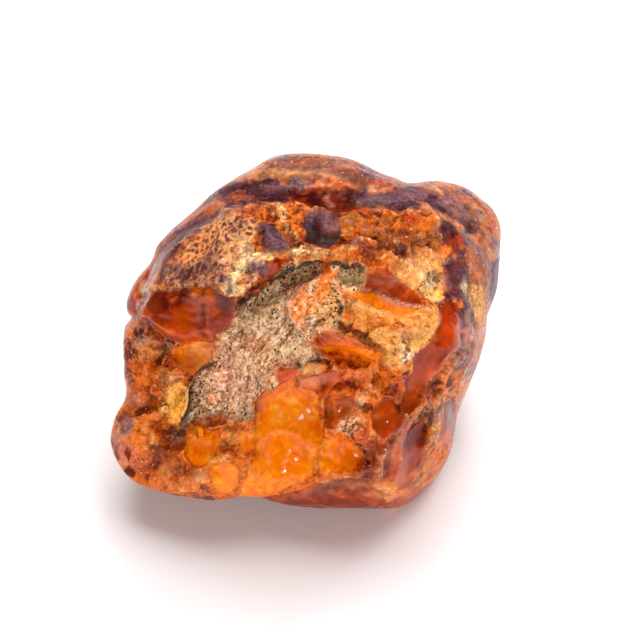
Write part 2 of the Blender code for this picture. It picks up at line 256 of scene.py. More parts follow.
BACK_RIDGE = (
    (-11.5, 15.6), (-8.0, 17.0), (-4.9, 18.4), (1.7, 18.3), (5.8, 16.7), (10.4, 16.2), (14.0, 15.6), (26.0, 20.0),
    (0.0, 30.0), (-16.0, 20.0),
)
BACK_RIDGE_RISE = 1.0
BACK_RIDGE_EDGE = 0.5


def step_up(u, v, loop, edge):
    """1 inside the loop, 0 outside, smooth over a band of twice edge."""
    return fade(depth_inside(u, v, loop), edge)


for name, loop in (("hood", HOOD), ("valley", VALLEY), ("ridge", BACK_RIDGE)):
    print(f"{name}: {np.ptp(np.array(loop), axis=0).round(1)} mm across and up")


# %% Bowls that flakes left, and lumps
# (U, V) of the middle, half length, half width, turn in degrees, depth. A negative depth is a lump.
BOWLS = {
    "bright window": (-1.6, -12.6, 7.6, 5.2, 78, 2.3),
    "side window": (4.6, -14.2, 2.7, 2.2, 20, 1.1),
    "left window": (-12.1, -13.9, 2.2, 1.8, 60, 0.9),
    "lip window": (-9.1, -17.3, 1.9, 1.7, 0, 0.8),
    "red window": (3.8, -9.3, 2.0, 1.5, 0, 0.8),
    "long scoop": (9.8, 4.5, 4.8, 2.0, -25, 1.7),
    "grey pit": (5.2, 6.8, 1.9, 1.7, -60, 2.2),
    "yellow pit": (14.4, 5.5, 2.0, 1.4, 70, 1.3),
    "eye": (4.4, -0.9, 3.8, 1.3, -25, -1.4),
    "under the eye": (4.7, -2.9, 3.2, 1.0, -20, 1.0),
    "red flake": (2.8, 14.8, 3.4, 1.0, -10, 0.7),
    "corner lobe": (-19.0, -12.6, 3.9, 3.2, 60, -1.8),
    "orange flake": (-13.0, -3.2, 2.6, 1.5, -30, 0.6),
    "smooth band": (14.6, -1.8, 5.5, 1.7, 80, 0.5),
    "far hump": (17.6, 14.4, 3.2, 2.2, -35, -1.2),
}
BACK_BOWLS = {
    "rear flake": (7.5, 9.5, 6.0, 4.2, 35, -1.3),
    "rear hollow": (-10.5, 1.0, 4.6, 3.2, 100, -1.0),
    "rear chip": (-3.5, 15.5, 4.2, 2.1, 10, -0.8),
    "side chip": (13.0, -3.5, 4.4, 3.0, 75, -0.9),
}
BOWL_POWER = 0.8


def oval(u, v, middle_u, middle_v, half_length, half_width, turn):
    """(a / half_length)^2 + (b / half_width)^2, with a and b along and across the turned oval: 1 on its rim."""
    turn = math.radians(turn)
    a = (u - middle_u) * math.cos(turn) + (v - middle_v) * math.sin(turn)
    b = (v - middle_v) * math.cos(turn) - (u - middle_u) * math.sin(turn)
    return (a / half_length) ** 2 + (b / half_width) ** 2


def bowl(u, v, *shape):
    """-depth (1 - oval)^BOWL_POWER inside the oval, 0 outside."""
    *place, depth = shape
    return -depth * np.clip(1 - oval(u, v, *place), 0, 1) ** BOWL_POWER


print(len(BOWLS), "bowls and lumps in front,", len(BACK_BOWLS), "hollows behind")


# %% Crests and creases
# Height (a crease is negative), half width, and the line they follow.
CRESTS = {
    "under the hood": (-1.2, 0.9, ((-6.4, 3.4), (-1.7, 6.3), (2.3, 7.8))),
    "window rim": (0.9, 0.8, ((-6.2, -8.2), (-4.4, -6.2), (-1.7, -4.7), (3.5, -4.8))),
    "corner": (0.7, 0.8, ((16.5, -7.5), (12.5, -9.8), (9.4, -12.3), (8.3, -16.2), (4.0, -17.3), (-0.6, -19.0))),
    "lobe crease": (-0.9, 1.1, ((-19.6, -9.2), (-17.8, -9.8), (-15.3, -12.6))),
    "behind the corner": (-0.9, 0.8, ((12.2, 16.6), (15.5, 15.1), (18.8, 12.4))),
    "forked crest": (0.9, 0.8, ((-4.3, 15.2), (-2.4, 14.6), (-1.7, 12.8), (0.0, 10.5), (2.9, 9.5))),
    "low right crest": (0.7, 0.7, ((15.4, -9.8), (14.8, -13.0), (13.0, -16.8))),
}


# %% Angular lumps
# Each is what lies under a few planes, standing on the skin: U, V and height of the top, then the slopes of the
# planes that run down from it.
BLOCKS = {
    "dark block": (2.6, 11.9, 1.1, ((0.75, 0.1), (-0.50, 0.25), (0.05, 1.0), (-0.05, -0.7))),
    "side block": (14.2, 12.4, 0.7, ((0.5, 0.2), (-0.6, 0.3), (0.1, -0.7), (0.0, 0.6))),
    "crest block": (9.6, -5.2, 0.6, ((0.5, 0.2), (-0.5, 0.4), (0.1, -0.6), (0.0, 0.7))),
    "low block": (-6.4, -15.4, 0.6, ((0.45, 0.3), (-0.6, 0.2), (0.1, -0.6), (0.0, 0.5))),
    "slope block": (-18.0, -5.0, 0.6, ((0.6, 0.1), (-0.4, 0.3), (0.1, -0.3), (0.0, 0.35))),
}
BLOCK_ROUNDING = 0.05


def block(u, v, middle_u, middle_v, height, slopes):
    """max(0, lowest over slopes of height + along_u (u - u0) + along_v (v - v0))."""
    sides = [plane(u, v, (middle_u, middle_v, height, *slope)) for slope in slopes]
    return lowest(sides, BLOCK_ROUNDING).clip(0)


def front_height(u, v):
    """Lowest plane, minus the valley, plus the ridge, up to the hood where it stands higher, plus its lumps."""
    w = lowest([plane(u, v, facet) for facet in FRONT_FACETS.values()], FRONT_ROUNDING)
    w = w - VALLEY_DEPTH * step_up(u, v, VALLEY, VALLEY_EDGE)
    w = w + BACK_RIDGE_RISE * step_up(u, v, BACK_RIDGE, BACK_RIDGE_EDGE)
    shelf = lowest([plane(u, v, HOOD_TOP), plane(u, v, HOOD_END)], HOOD_ROUNDING)
    w = w + np.maximum(shelf - w, 0) * step_up(u, v, HOOD, HOOD_EDGE)
    w = w + sum(bowl(u, v, *shape) for shape in BOWLS.values())
    w = w + sum(block(u, v, *shape) for shape in BLOCKS.values())
    for height, half_width, line in CRESTS.values():
        w = w + height * np.exp(-((line_distance(u, v, line) / half_width) ** 2))
    return w


def back_height(u, v):
    """Highest of the back planes, plus its bowls, which rise because the back faces the other way."""
    w = -lowest([-plane(u, v, facet) for facet in BACK_FACETS.values()], BACK_ROUNDING)
    return w + sum(bowl(u, v, *shape) for shape in BACK_BOWLS.values())


middle = np.zeros(1)
print("through the middle, mm:", (front_height(middle, middle) - back_height(middle, middle)).round(1))


# %% [markdown]
# ## Two sheets make the skin
#
# The skin needs no seams or poles, and even cells all over. A sphere bunches its cells at two poles. Two square
# sheets do not: one bulges forward as the show side, one back, and their edges meet on the outline. Each square is
# first pulled into a disc, and each ring of the disc then becomes a ring of the outline.

# %% Square sheet to skin
CELLS = 222
RING_SPREAD = 0.65


def sheet(front):
    """(U, V, W, distance from the rim plane) over a square grid. Ring s of the disc becomes the turn
    q = 90 (a s + (1 - a) s^3) degrees, and with n the squareness, reach = sin q / (sin^n q + cos^n q)^(1/n) and
    lift = cos q / (sin^n q + cos^n q)^(1/n) give radius = outline reach and W = rim + (height - rim) lift."""
    line = np.linspace(-1, 1, CELLS + 1)
    x, y = np.meshgrid(line, line, indexing="ij")
    disc_x, disc_y = x * np.sqrt(1 - y * y / 2), y * np.sqrt(1 - x * x / 2)
    ring = np.clip(np.hypot(disc_x, disc_y), 0, 1)
    angle = np.degrees(np.arctan2(disc_y, disc_x)) % 360
    q = math.pi / 2 * (RING_SPREAD * ring + (1 - RING_SPREAD) * ring**3)
    n = closed_curve(angle, RIM_ANGLES, RIM_SQUARENESS) if front else BACK_SQUARENESS
    scale = (np.sin(q) ** n + np.cos(q).clip(0) ** n) ** (-1 / n)
    radius = outline_radius(angle) * np.sin(q) * scale
    u, v = radius * np.cos(np.radians(angle)), radius * np.sin(np.radians(angle))
    rim = closed_curve(angle, RIM_ANGLES, RIM_DEPTHS)
    height = front_height(u, v) if front else back_height(u, v)
    w = rim + (height - rim) * np.cos(q).clip(0) * scale
    return u, v, w, np.abs(w - rim)


FRONT, BACK = sheet(True), sheet(False)
print("show side stands out to", FRONT[2].max().round(1), "mm, back goes to", BACK[2].min().round(1), "mm")


# %% One closed mesh
def joined(front, back):
    """One value per vertex: the whole front grid, then the back grid without its edge, which is the front's."""
    return np.concatenate([front.ravel(), back[1:-1, 1:-1].ravel()])


side = CELLS + 1
front_ids = np.arange(side * side).reshape(side, side)
back_ids = front_ids.copy()
back_ids[1:-1, 1:-1] = side * side + np.arange((side - 2) ** 2).reshape(side - 2, side - 2)


def quads(ids, flip):
    """Corner numbers of the grid's cells, turned the other way round if flip."""
    corners = [ids[:-1, :-1], ids[1:, :-1], ids[1:, 1:], ids[:-1, 1:]]
    return np.stack(corners[::-1] if flip else corners, axis=-1).reshape(-1, 4)


QUADS = np.concatenate([quads(front_ids, False), quads(back_ids, True)])
U, V, W, FROM_RIM = (joined(f, b) for f, b in zip(FRONT, BACK))
IS_FRONT = np.arange(len(U)) < side * side
SKIN = tapered(U, V, W)
print(len(U), "vertices,", 2 * len(QUADS), "triangles")

# %% [markdown]
# ## Noise
#
# Three kinds of unevenness cover the skin, all of them functions of place. Value noise rolls. Cellular noise, the
# squared distance to the nearest of many scattered points, makes bowls that meet in crisp edges, which is just how
# resin chips. Shards are cells that each tilt their own way, like the facets of a crushed surface.

# %% Noise as functions of place
NOISE_TABLE = 32


def value_noise(points, cell, seed):
    """Random values on a lattice, blended over each cell by 3 t^2 - 2 t^3 along each axis. From -1 to 1."""
    table = np.random.default_rng(seed).uniform(-1, 1, (NOISE_TABLE,) * 3)
    base = np.floor(points / cell).astype(int)
    share = smooth(points / cell - base)
    total = np.zeros(len(points))
    for corner in np.ndindex(2, 2, 2):
        x, y, z = ((base + corner) % NOISE_TABLE).T
        total += np.prod(np.where(corner, share, 1 - share), axis=1) * table[x, y, z]
    return total


def nearest_node(points, cell, seed):
    """Way to the nearest point of a lattice whose points are each moved in their cell, and that point's number."""
    jitter = np.random.default_rng(seed).uniform(0.1, 0.9, (NOISE_TABLE,) * 3 + (3,))
    base = np.floor(points / cell).astype(int)
    nearest, way, number = np.full(len(points), np.inf), np.zeros_like(points), np.zeros(len(points), int)
    for offset in np.ndindex(3, 3, 3):
        node = base + np.array(offset) - 1
        x, y, z = (node % NOISE_TABLE).T
        apart = points - (node + jitter[x, y, z]) * cell
        squared = (apart**2).sum(axis=1)
        closer = squared < nearest
        nearest = np.where(closer, squared, nearest)
        way = np.where(closer[:, None], apart, way)
        number = np.where(closer, (x * NOISE_TABLE + y) * NOISE_TABLE + z, number)
    return way, number


def shells(points, cell, seed):
    """Squared distance to the nearest node."""
    return (nearest_node(points, cell, seed)[0] ** 2).sum(axis=1)


def shards(points, cell, seed):
    """way . tilt, where each node has a tilt of its own, each part of it between -1 and 1."""
    way, number = nearest_node(points, cell, seed)
    tilts = np.random.default_rng(seed + 1).uniform(-1, 1, (NOISE_TABLE**3, 3))
    return (way * tilts[number]).sum(axis=1)


def vertex_normals(points):
    """Unit sum of the normals of the cells round each vertex; a cell's normal is the cross of its diagonals."""
    a, b, c, d = (points[QUADS[:, k]] for k in range(4))
    normal = np.cross(c - a, d - b)
    total = np.zeros_like(points)
    for axis in range(3):
        total[:, axis] = np.bincount(QUADS.ravel(), np.repeat(normal[:, axis], 4), len(points))
    return total / np.linalg.norm(total, axis=1, keepdims=True).clip(1e-12)


# %% The rolling unevenness of the whole lump
LUMP_CELL, LUMP_HEIGHT = 9.0, 0.55
SHELL_CELLS = ((11.0, 0.020, 3), (4.6, 0.030, 8))
SHELL_WARP = 0.6
# How much calmer the skin is at the rim, from which share of the radius, and over which share more.
LUMP_CALM, LUMP_CALM_FROM, LUMP_CALM_OVER = 0.75, 0.8, 0.2

warp = np.stack([value_noise(SKIN, LUMP_CELL / 2, seed) for seed in (11, 12, 13)], axis=1)
WARPED = SKIN + SHELL_WARP * warp
rise = LUMP_HEIGHT * value_noise(SKIN, LUMP_CELL, 5)
for cell, depth, seed in SHELL_CELLS:
    hollow = shells(WARPED, cell, seed)
    rise += depth * (hollow - hollow.mean())
near_rim = np.hypot(U, V) / outline_radius(np.degrees(np.arctan2(V, U)) % 360)
rise *= 1 - LUMP_CALM * smooth((near_rim - LUMP_CALM_FROM) / LUMP_CALM_OVER)
SKIN = SKIN + vertex_normals(SKIN) * rise[:, None]
print("unevenness, mm:", rise.min().round(2), "to", rise.max().round(2))

# %% [markdown]
# ## Where each finish lies
#
# Every finish is a set of loops on the face, in pixels of the view. The vertex keeps, for each finish, how far
# inside it lies, in millimetres. Nothing is painted yet: the material compares that distance with noise, so a
# finish ends in a broken, natural edge, finer than the mesh. On the back, distances shrink with the way round the
# rim, so a finish that reaches the rim fades out round it, and flakes of the back get glassy finishes of their own.

# %% Loops of dry finishes
SAND = {
    "valley": (
        (236, 308), (242, 299), (261, 290), (274, 280), (290, 268), (305, 258), (318, 256), (322, 270), (334, 278),
        (342, 300), (338, 324), (322, 332), (312, 342), (320, 352), (322, 362), (300, 372), (281, 366), (277, 378),
        (261, 395), (249, 403), (256, 409), (254, 418), (234, 420), (215, 414), (202, 418), (186, 424), (176, 439),
        (171, 441), (182, 425), (190, 412), (191, 388), (199, 371), (213, 365), (215, 345), (223, 333), (234, 327),
    ),
    "grey pit": (
        (336, 257), (345, 262), (357, 260), (364, 265), (363, 285), (354, 291), (344, 286), (336, 277), (334, 264),
    ),
    "specks": ((338, 425), (346, 417), (358, 414), (366, 420), (362, 428), (350, 432), (340, 431)),
    "crest sand": ((396, 346), (405, 344), (412, 352), (405, 366), (398, 360)),
}
TAN = {
    "hood edge": (
        (245, 241), (252, 245), (261, 253), (275, 253), (293, 250), (311, 246), (316, 254), (298, 253), (286, 252),
        (274, 255), (262, 266), (258, 281), (247, 289), (236, 297), (221, 291), (213, 284), (226, 284), (233, 276),
        (228, 269), (238, 262), (241, 252),
    ),
    "forked ridge": (
        (262, 204), (269, 198), (280, 197), (286, 208), (284, 220), (294, 227), (300, 240), (312, 247), (300, 250),
        (294, 243), (288, 234), (281, 225), (277, 212), (270, 205),
    ),
    "over the scoop": ((394, 267), (404, 259), (418, 261), (428, 264), (417, 270), (413, 283), (402, 276)),
    "yellow pit": ((416, 275), (424, 268), (436, 268), (441, 279), (438, 290), (427, 289), (418, 284)),
    "right flank": ((470, 284), (480, 282), (486, 296), (484, 318), (476, 326), (472, 308)),
}
RUST = {
    "under the scoop": (
        (341, 300), (352, 297), (367, 303), (394, 313), (414, 318), (432, 310), (438, 318), (432, 335), (420, 345),
        (411, 352), (405, 366), (390, 372), (383, 352), (367, 343), (344, 330), (335, 328),
    ),
    "beside the pit": (
        (394, 262), (420, 256), (444, 262), (448, 282), (440, 302), (428, 300), (412, 286), (398, 274),
    ),
    "slope": ((160, 372), (184, 378), (194, 396), (186, 418), (170, 432), (160, 410), (164, 390)),
}

# %% Loops of glassy breaks
CLEAR = {
    "main window": (
        (256, 407), (263, 396), (273, 387), (290, 378), (303, 383), (316, 386), (324, 392), (317, 408), (323, 427),
        (325, 442), (319, 456), (313, 478), (300, 486), (280, 496), (255, 500), (240, 498), (242, 487), (246, 477),
        (257, 449), (256, 436), (257, 420),
    ),
    "far window": (
        (325, 441), (336, 436), (350, 440), (356, 452), (366, 464), (352, 470), (334, 474), (317, 478), (322, 460),
    ),
    "left window": ((186, 440), (193, 429), (205, 425), (214, 434), (216, 450), (207, 464), (192, 467), (185, 455)),
    "middle panel": ((237, 437), (250, 434), (257, 438), (256, 449), (247, 456), (238, 450)),
    "lip window": ((208, 470), (222, 464), (234, 464), (240, 473), (238, 487), (229, 497), (218, 494), (211, 486)),
    "orange flake": (
        (170, 355), (176, 347), (187, 344), (214, 342), (215, 352), (213, 365), (200, 370), (190, 377), (180, 366),
    ),
    "scoop floor": (
        (350, 290), (364, 290), (375, 291), (394, 300), (415, 309), (427, 308), (414, 316), (394, 311), (367, 301),
        (354, 296), (340, 287), (318, 268), (330, 266), (338, 282),
    ),
    "under the eye": (
        (320, 349), (329, 355), (338, 352), (346, 359), (355, 356), (363, 363), (370, 359), (378, 365), (384, 354),
        (376, 351), (360, 349), (340, 345), (326, 344),
    ),
    "scoop hollow": ((372, 300), (388, 305), (404, 311), (410, 318), (396, 322), (384, 316)),
}
RED = {
    "hood end": (
        (150, 285), (164, 284), (187, 281), (213, 284), (221, 291), (236, 297), (248, 290), (255, 287), (242, 298),
        (236, 308), (234, 327), (221, 333), (214, 337), (202, 344), (186, 344), (175, 340), (160, 338), (147, 327),
        (143, 318), (137, 307), (140, 294),
    ),
    "lip faces": ((262, 282), (267, 263), (274, 256), (290, 253), (294, 260), (293, 272), (284, 274), (268, 281)),
    "left strip": (
        (128, 303), (133, 291), (141, 279), (150, 268), (155, 262), (152, 276), (144, 290), (138, 300), (136, 314),
        (129, 312),
    ),
    "scoop wall": (
        (366, 272), (386, 268), (394, 275), (412, 288), (427, 305), (415, 307), (394, 298), (378, 289), (366, 288),
    ),
    "eye": (
        (311, 338), (322, 329), (344, 331), (367, 344), (381, 352), (374, 360), (354, 355), (338, 350), (320, 348),
    ),
    "smooth band": (
        (436, 303), (446, 298), (458, 302), (461, 320), (460, 342), (448, 353), (442, 362), (440, 376), (429, 396),
        (424, 408), (411, 415), (402, 412), (410, 396), (407, 382), (414, 373), (415, 353), (434, 336), (440, 318),
    ),
    "second band": (
        (377, 407), (385, 398), (394, 402), (401, 414), (402, 425), (395, 436), (384, 441), (374, 430), (372, 416),
    ),
    "ledge": (
        (298, 379), (306, 374), (329, 371), (344, 374), (338, 382), (331, 388), (326, 396), (318, 386), (303, 384),
    ),
    "ledge side": ((278, 378), (283, 366), (296, 361), (304, 366), (303, 374), (290, 379), (270, 391), (262, 397)),
    "dark window": (
        (325, 399), (336, 394), (350, 397), (358, 404), (353, 415), (344, 423), (334, 430), (326, 424), (324, 410),
    ),
    "corner": (
        (419, 432), (431, 423), (430, 440), (429, 456), (419, 474), (413, 490), (397, 490), (394, 482), (400, 467),
        (407, 448),
    ),
    "pink strip": (
        (392, 438), (408, 427), (426, 419), (416, 437), (407, 447), (400, 466), (394, 482), (382, 479), (385, 460),
    ),
    "red flakes": ((266, 204), (276, 203), (279, 214), (274, 222), (266, 216)),
    "top glass": (
        (286, 186), (300, 182), (330, 182), (352, 190), (360, 203), (344, 207), (318, 204), (300, 201), (288, 196),
    ),
    "under lip": (
        (262, 500), (290, 497), (313, 487), (334, 481), (364, 483), (383, 492), (387, 509), (340, 510), (300, 510),
        (270, 505),
    ),
    "side sheen": ((447, 406), (456, 398), (456, 420), (451, 440), (446, 449), (443, 430)),
}

# %% Loops of weathered skin
RIND = {
    "top and far side": (
        (90, 300), (128, 303), (152, 284), (163, 262), (178, 240), (206, 222), (234, 215), (258, 200), (300, 203),
        (345, 206), (372, 206), (412, 206), (436, 216), (452, 250), (462, 262), (474, 282), (478, 310), (468, 345),
        (474, 380), (530, 400), (530, 100), (90, 100),
    ),
}
PLUM = {
    "left band": (
        (216, 196), (226, 184), (246, 176), (262, 176), (276, 174), (290, 182), (303, 184), (303, 198), (288, 201),
        (262, 198), (246, 201), (240, 214), (226, 214), (228, 202), (218, 203),
    ),
    "flank": (
        (163, 262), (166, 244), (176, 231), (190, 222), (206, 216), (232, 212), (226, 219), (200, 226), (182, 238),
    ),
    "flank foot": ((154, 286), (158, 270), (166, 258), (170, 266), (162, 280)),
    "pyramid": ((301, 222), (308, 211), (324, 207), (341, 211), (338, 222), (341, 240), (326, 248), (315, 243)),
    "brown plane": ((259, 222), (272, 220), (284, 230), (294, 247), (268, 251), (258, 240)),
    "hood patch": ((219, 277), (232, 275), (243, 284), (240, 292), (226, 289)),
    "hood grey patch": ((247, 262), (257, 258), (268, 262), (266, 273), (252, 276)),
    "long band": (
        (360, 190), (378, 192), (394, 186), (412, 183), (430, 190), (446, 200), (472, 224), (470, 230), (448, 212),
        (431, 202), (400, 208), (384, 200), (364, 199),
    ),
    "right patch": ((436, 218), (450, 222), (458, 238), (455, 251), (444, 244), (437, 232)),
    "beside the ridge": ((448, 258), (460, 258), (464, 276), (464, 298), (450, 299), (444, 284)),
    "right ridge": ((459, 268), (467, 270), (473, 284), (476, 312), (468, 342), (462, 346), (459, 320), (460, 296)),
    "far edge": ((490, 262), (502, 256), (500, 300), (494, 318), (489, 296)),
}
SPOTTED = {
    "hood top": (
        (160, 282), (164, 268), (174, 250), (190, 236), (212, 224), (238, 215), (254, 214), (258, 226), (252, 240),
        (243, 250), (232, 266), (221, 279), (211, 283), (187, 279),
    ),
}

# %% Crevices and pale rims
# Half width in millimetres, and the pixels of the line.
DARK_LINES = (
    # Most dark lines are painted shade: under the hood's edge, in the crevice beside the slope, under the hood's
    # end, in the main window's crease and at the top of the grey pit. The line from 352, 433 to 369, 466 is a
    # crack.
    (0.26, ((236, 311), (242, 300), (261, 290), (288, 274), (310, 262), (322, 259))),
    (0.20, ((214, 364), (202, 370), (194, 382), (191, 392), (191, 410), (184, 424), (176, 438))),
    (0.13, ((147, 341), (152, 340), (164, 340), (172, 342), (180, 346))),
    (0.16, ((254, 404), (263, 394), (285, 380))),
    (0.14, ((352, 433), (364, 450), (369, 466))),
    (0.16, ((338, 300), (341, 306), (340, 314))),
    (0.30, ((336, 260), (345, 264), (357, 262), (363, 268))),
)
PALE_LINES = (
    (0.16, ((150, 285), (164, 284), (187, 281), (213, 283), (222, 289), (237, 296))),
    (0.12, ((168, 248), (186, 233), (199, 226), (220, 219), (238, 215))),
    (0.25, ((293, 247), (311, 245), (319, 249), (335, 254))),
    (0.22, (
        (470, 372), (452, 398), (440, 410), (415, 426), (395, 440), (388, 456), (380, 477), (345, 482), (318, 488),
    )),
    (0.10, ((244, 449), (246, 466), (241, 480))),
    # Painted highlight: this line and the next, along the scoop's lip, stand in for light mirrored there.
    (0.10, ((336, 283), (354, 298), (375, 306), (411, 315), (427, 309))),
    (0.15, ((350, 291), (362, 288), (375, 291), (394, 299), (412, 306), (426, 306))),
    (0.24, ((450, 405), (437, 430), (434, 450), (425, 470), (419, 487))),
    (0.12, ((427, 420), (416, 436), (408, 447), (400, 466), (395, 482))),
    (0.10, ((282, 266), (293, 255), (302, 252))),
)

# %% How far inside each finish
REACH = 3.0
WRAP = 0.8
BACK_RIND_START = 1.5
BACK_WOBBLE = ((1.3, 4.5), (0.4, 1.5))  # millimetres of shift, and the size of the noise


def wrapped(depth):
    """The depth as it is in front, less WRAP times the way round the rim on the back, kept within +-REACH."""
    return np.clip(np.where(IS_FRONT, depth, depth - WRAP * FROM_RIM), -REACH, REACH)


def finish_depth(loops):
    """The deepest of the loops."""
    return wrapped(np.max([depth_inside(U, V, on_face(loop)) for loop in loops.values()], axis=0))


def line_depth(lines):
    """Half width less the distance to each line: the greatest of them, on the same scale."""
    return wrapped(np.max([half - line_distance(U, V, on_face(line)) for half, line in lines], axis=0))


def wobbly_on_back(at, seed):
    """The coordinate, moved by the noises of BACK_WOBBLE."""
    for far, cell in BACK_WOBBLE:
        at = at + far * value_noise(SKIN, cell, seed)
    return at


def bowl_depth(bowls):
    """On the back only: half width times one less the bowl's own elliptical radius, at a place shifted by noise."""
    moved = wobbly_on_back(U, 91), wobbly_on_back(V, 92)
    inside = [shape[3] * (1 - np.sqrt(oval(*moved, *shape[:5]))) for shape in bowls]
    return np.where(IS_FRONT, -REACH, np.max(inside, axis=0).clip(-REACH))


FINISHES = {
    "sand": SAND, "tan": TAN, "rust": RUST, "clear": CLEAR, "red": RED, "rind": RIND, "plum": PLUM,
    "spotted": SPOTTED,
}
DEPTHS = {name: finish_depth(loops) for name, loops in FINISHES.items()}
DEPTHS["red"] = np.maximum(DEPTHS["red"], bowl_depth(BACK_BOWLS.values()))
DEPTHS["rind"] = np.where(IS_FRONT, DEPTHS["rind"], np.maximum(DEPTHS["rind"], FROM_RIM - BACK_RIND_START))
DEPTHS["dark"], DEPTHS["pale"] = line_depth(DARK_LINES), line_depth(PALE_LINES)
for name, depth in DEPTHS.items():
    print(f"{name}: {100 * (depth > 0).mean():.1f}% of the vertices")

# %% [markdown]
# ## Stains and painted highlights
#
# Iron, soil and the thickness of the resin stain a lump unevenly: here a red-brown streak, there a bloom of mauve.
# Some ovals are painted light instead: mauve and pink sheens, highlights and reflections on glossy facets, each
# noted where it stands. A stain is an oval with ragged edges in one of a few named paints. Laid one after another
# over the vertices, they give every vertex a colour and a strength, which the material lays over its finishes.


# %% Paints
def paint(red, green, blue):
    """A colour as it looks on a screen, 0 to 255, as the linear light that Blender works in."""
    screen = np.array([red, green, blue]) / 255
    linear = np.where(screen <= 0.04045, screen / 12.92, ((screen + 0.055) / 1.055) ** 2.4)
    return (*linear.tolist(), 1.0)


PAINTS = {
    "yellow": paint(255, 176, 52), "bright": paint(255, 132, 8), "orange": paint(234, 117, 24),
    "red orange": paint(204, 74, 18), "red brown": paint(140, 44, 16), "maroon": paint(82, 18, 16),
    "plum": paint(58, 22, 32), "mauve": paint(140, 100, 106), "tan": paint(240, 172, 92),
    "cream": paint(252, 226, 170), "umber": paint(108, 66, 32), "olive": paint(150, 120, 72),
    "pink": paint(226, 148, 120), "brown": paint(150, 84, 52), "dusk": paint(112, 80, 88),
    "peach": paint(240, 164, 96),
}
print(len(PAINTS), "paints:", ", ".join(PAINTS))

# %% Stains and painted highlights: the top and the far side
# Paint, pixel of the middle, half length and half width in pixels, turn in degrees, strength.
TOP_STAINS_AND_HIGHLIGHTS = (
    ("tan", 284, 168, 28, 4, 0, 0.8), ("dusk", 330, 164, 26, 7, -5, 0.8), ("brown", 385, 176, 14, 6, -15, 0.7),
    # Painted sheen: the thin mauve oval at 376, 194 along the band.
    ("plum", 362, 178, 9, 7, 20, 0.9), ("mauve", 376, 194, 18, 3, -5, 0.9), ("orange", 352, 168, 12, 4, -20, 0.8),
    ("umber", 306, 164, 20, 4, 0, 0.6), ("plum", 350, 176, 8, 4, -10, 0.7), ("dusk", 296, 160, 12, 3, 8, 0.7),
    ("umber", 372, 184, 12, 4, -10, 0.6), ("plum", 470, 228, 5, 6, 0, 0.7), ("umber", 470, 214, 8, 8, -30, 0.6),
    ("plum", 452, 200, 7, 4, 0, 0.7), ("umber", 428, 190, 12, 3, 0, 0.6), ("dusk", 488, 272, 4, 8, 0, 0.8),
    ("plum", 480, 258, 5, 5, 0, 0.8), ("red orange", 388, 182, 12, 5, -15, 0.8),
    ("orange", 300, 159, 14, 3, 5, 0.6), ("dusk", 272, 160, 10, 4, 30, 0.7), ("orange", 334, 178, 20, 3, -14, 0.9),
    ("maroon", 346, 186, 10, 3, -15, 0.7), ("umber", 322, 158, 20, 4, -4, 0.6), ("dusk", 440, 188, 18, 5, -10, 0.7),
    ("brown", 452, 192, 16, 6, -20, 0.6), ("orange", 468, 196, 14, 3, -30, 0.6), ("dusk", 480, 210, 9, 10, 40, 0.8),
    ("orange", 492, 224, 6, 10, 20, 0.6), ("brown", 486, 238, 8, 8, 0, 0.7), ("dusk", 474, 250, 5, 9, 0, 0.8),
    ("orange", 480, 268, 6, 8, 0, 0.5), ("tan", 478, 300, 7, 16, 0, 0.8), ("peach", 480, 322, 5, 10, 0, 0.7),
    # Painted sheen: the mauve oval at 496, 290 along the far edge.
    ("orange", 484, 340, 5, 12, -10, 0.7), ("brown", 474, 345, 6, 10, 0, 0.7), ("mauve", 496, 290, 3, 24, -3, 0.9),
    # Painted sheen: the mauve ovals at 410, 193 and 452, 207 along the long band.
    ("brown", 470, 370, 8, 12, 20, 0.8), ("orange", 460, 392, 6, 9, 20, 0.6), ("mauve", 410, 193, 20, 5, -2, 0.8),
    ("mauve", 452, 207, 24, 5, -40, 0.9), ("dusk", 394, 190, 10, 4, 20, 0.8), ("dusk", 466, 292, 3, 30, 2, 0.8),
    # Painted sheen: the mauve and pink ovals at 462, 330 and 466, 330 along the right ridge.
    ("mauve", 462, 330, 3, 22, 2, 0.8), ("brown", 462, 352, 7, 18, 8, 0.8), ("pink", 466, 330, 3, 16, 4, 0.6),
    ("brown", 212, 207, 13, 7, 40, 0.7), ("orange", 216, 209, 8, 4, 40, 0.6), ("yellow", 225, 211, 3, 4, 0, 0.8),
    # Painted sheen: the mauve ovals at 204, 220 and 163, 250 on the hood's flank.
    ("orange", 236, 197, 8, 4, 10, 0.4), ("mauve", 204, 220, 26, 3, 14, 0.9), ("mauve", 163, 250, 4, 13, -22, 1.0),
    # Painted reflection: the thin mauve line at 294, 180 along the top of the plum band.
    ("mauve", 294, 180, 16, 2.5, 3, 0.9), ("dusk", 188, 231, 12, 3, 32, 0.7), ("maroon", 262, 188, 20, 7, 5, 0.7),
    ("orange", 254, 208, 9, 4, 20, 0.6), ("maroon", 322, 193, 34, 10, -6, 1.0),
    # Painted highlight: the small pink ovals at 330, 196 and 327, 190 on the top glass.
    ("maroon", 346, 200, 14, 7, -20, 1.0), ("plum", 312, 188, 16, 4, 0, 0.7), ("pink", 330, 196, 5, 1.5, -40, 0.8),
    ("pink", 327, 190, 3, 1.5, 30, 0.8), ("umber", 270, 170, 10, 5, 20, 0.7), ("dusk", 316, 169, 14, 4, 0, 0.7),
    ("umber", 344, 170, 14, 4, -8, 0.7), ("dusk", 296, 163, 22, 4, 4, 0.7), ("dusk", 366, 170, 12, 4, -14, 0.7),
    ("umber", 400, 182, 12, 5, -10, 0.7), ("brown", 424, 184, 14, 4, -10, 0.6), ("dusk", 456, 198, 10, 5, -30, 0.8),
    ("umber", 474, 222, 7, 9, 20, 0.6), ("dusk", 462, 208, 12, 4, -40, 0.6), ("mauve", 460, 202, 18, 8, -38, 0.5),
)
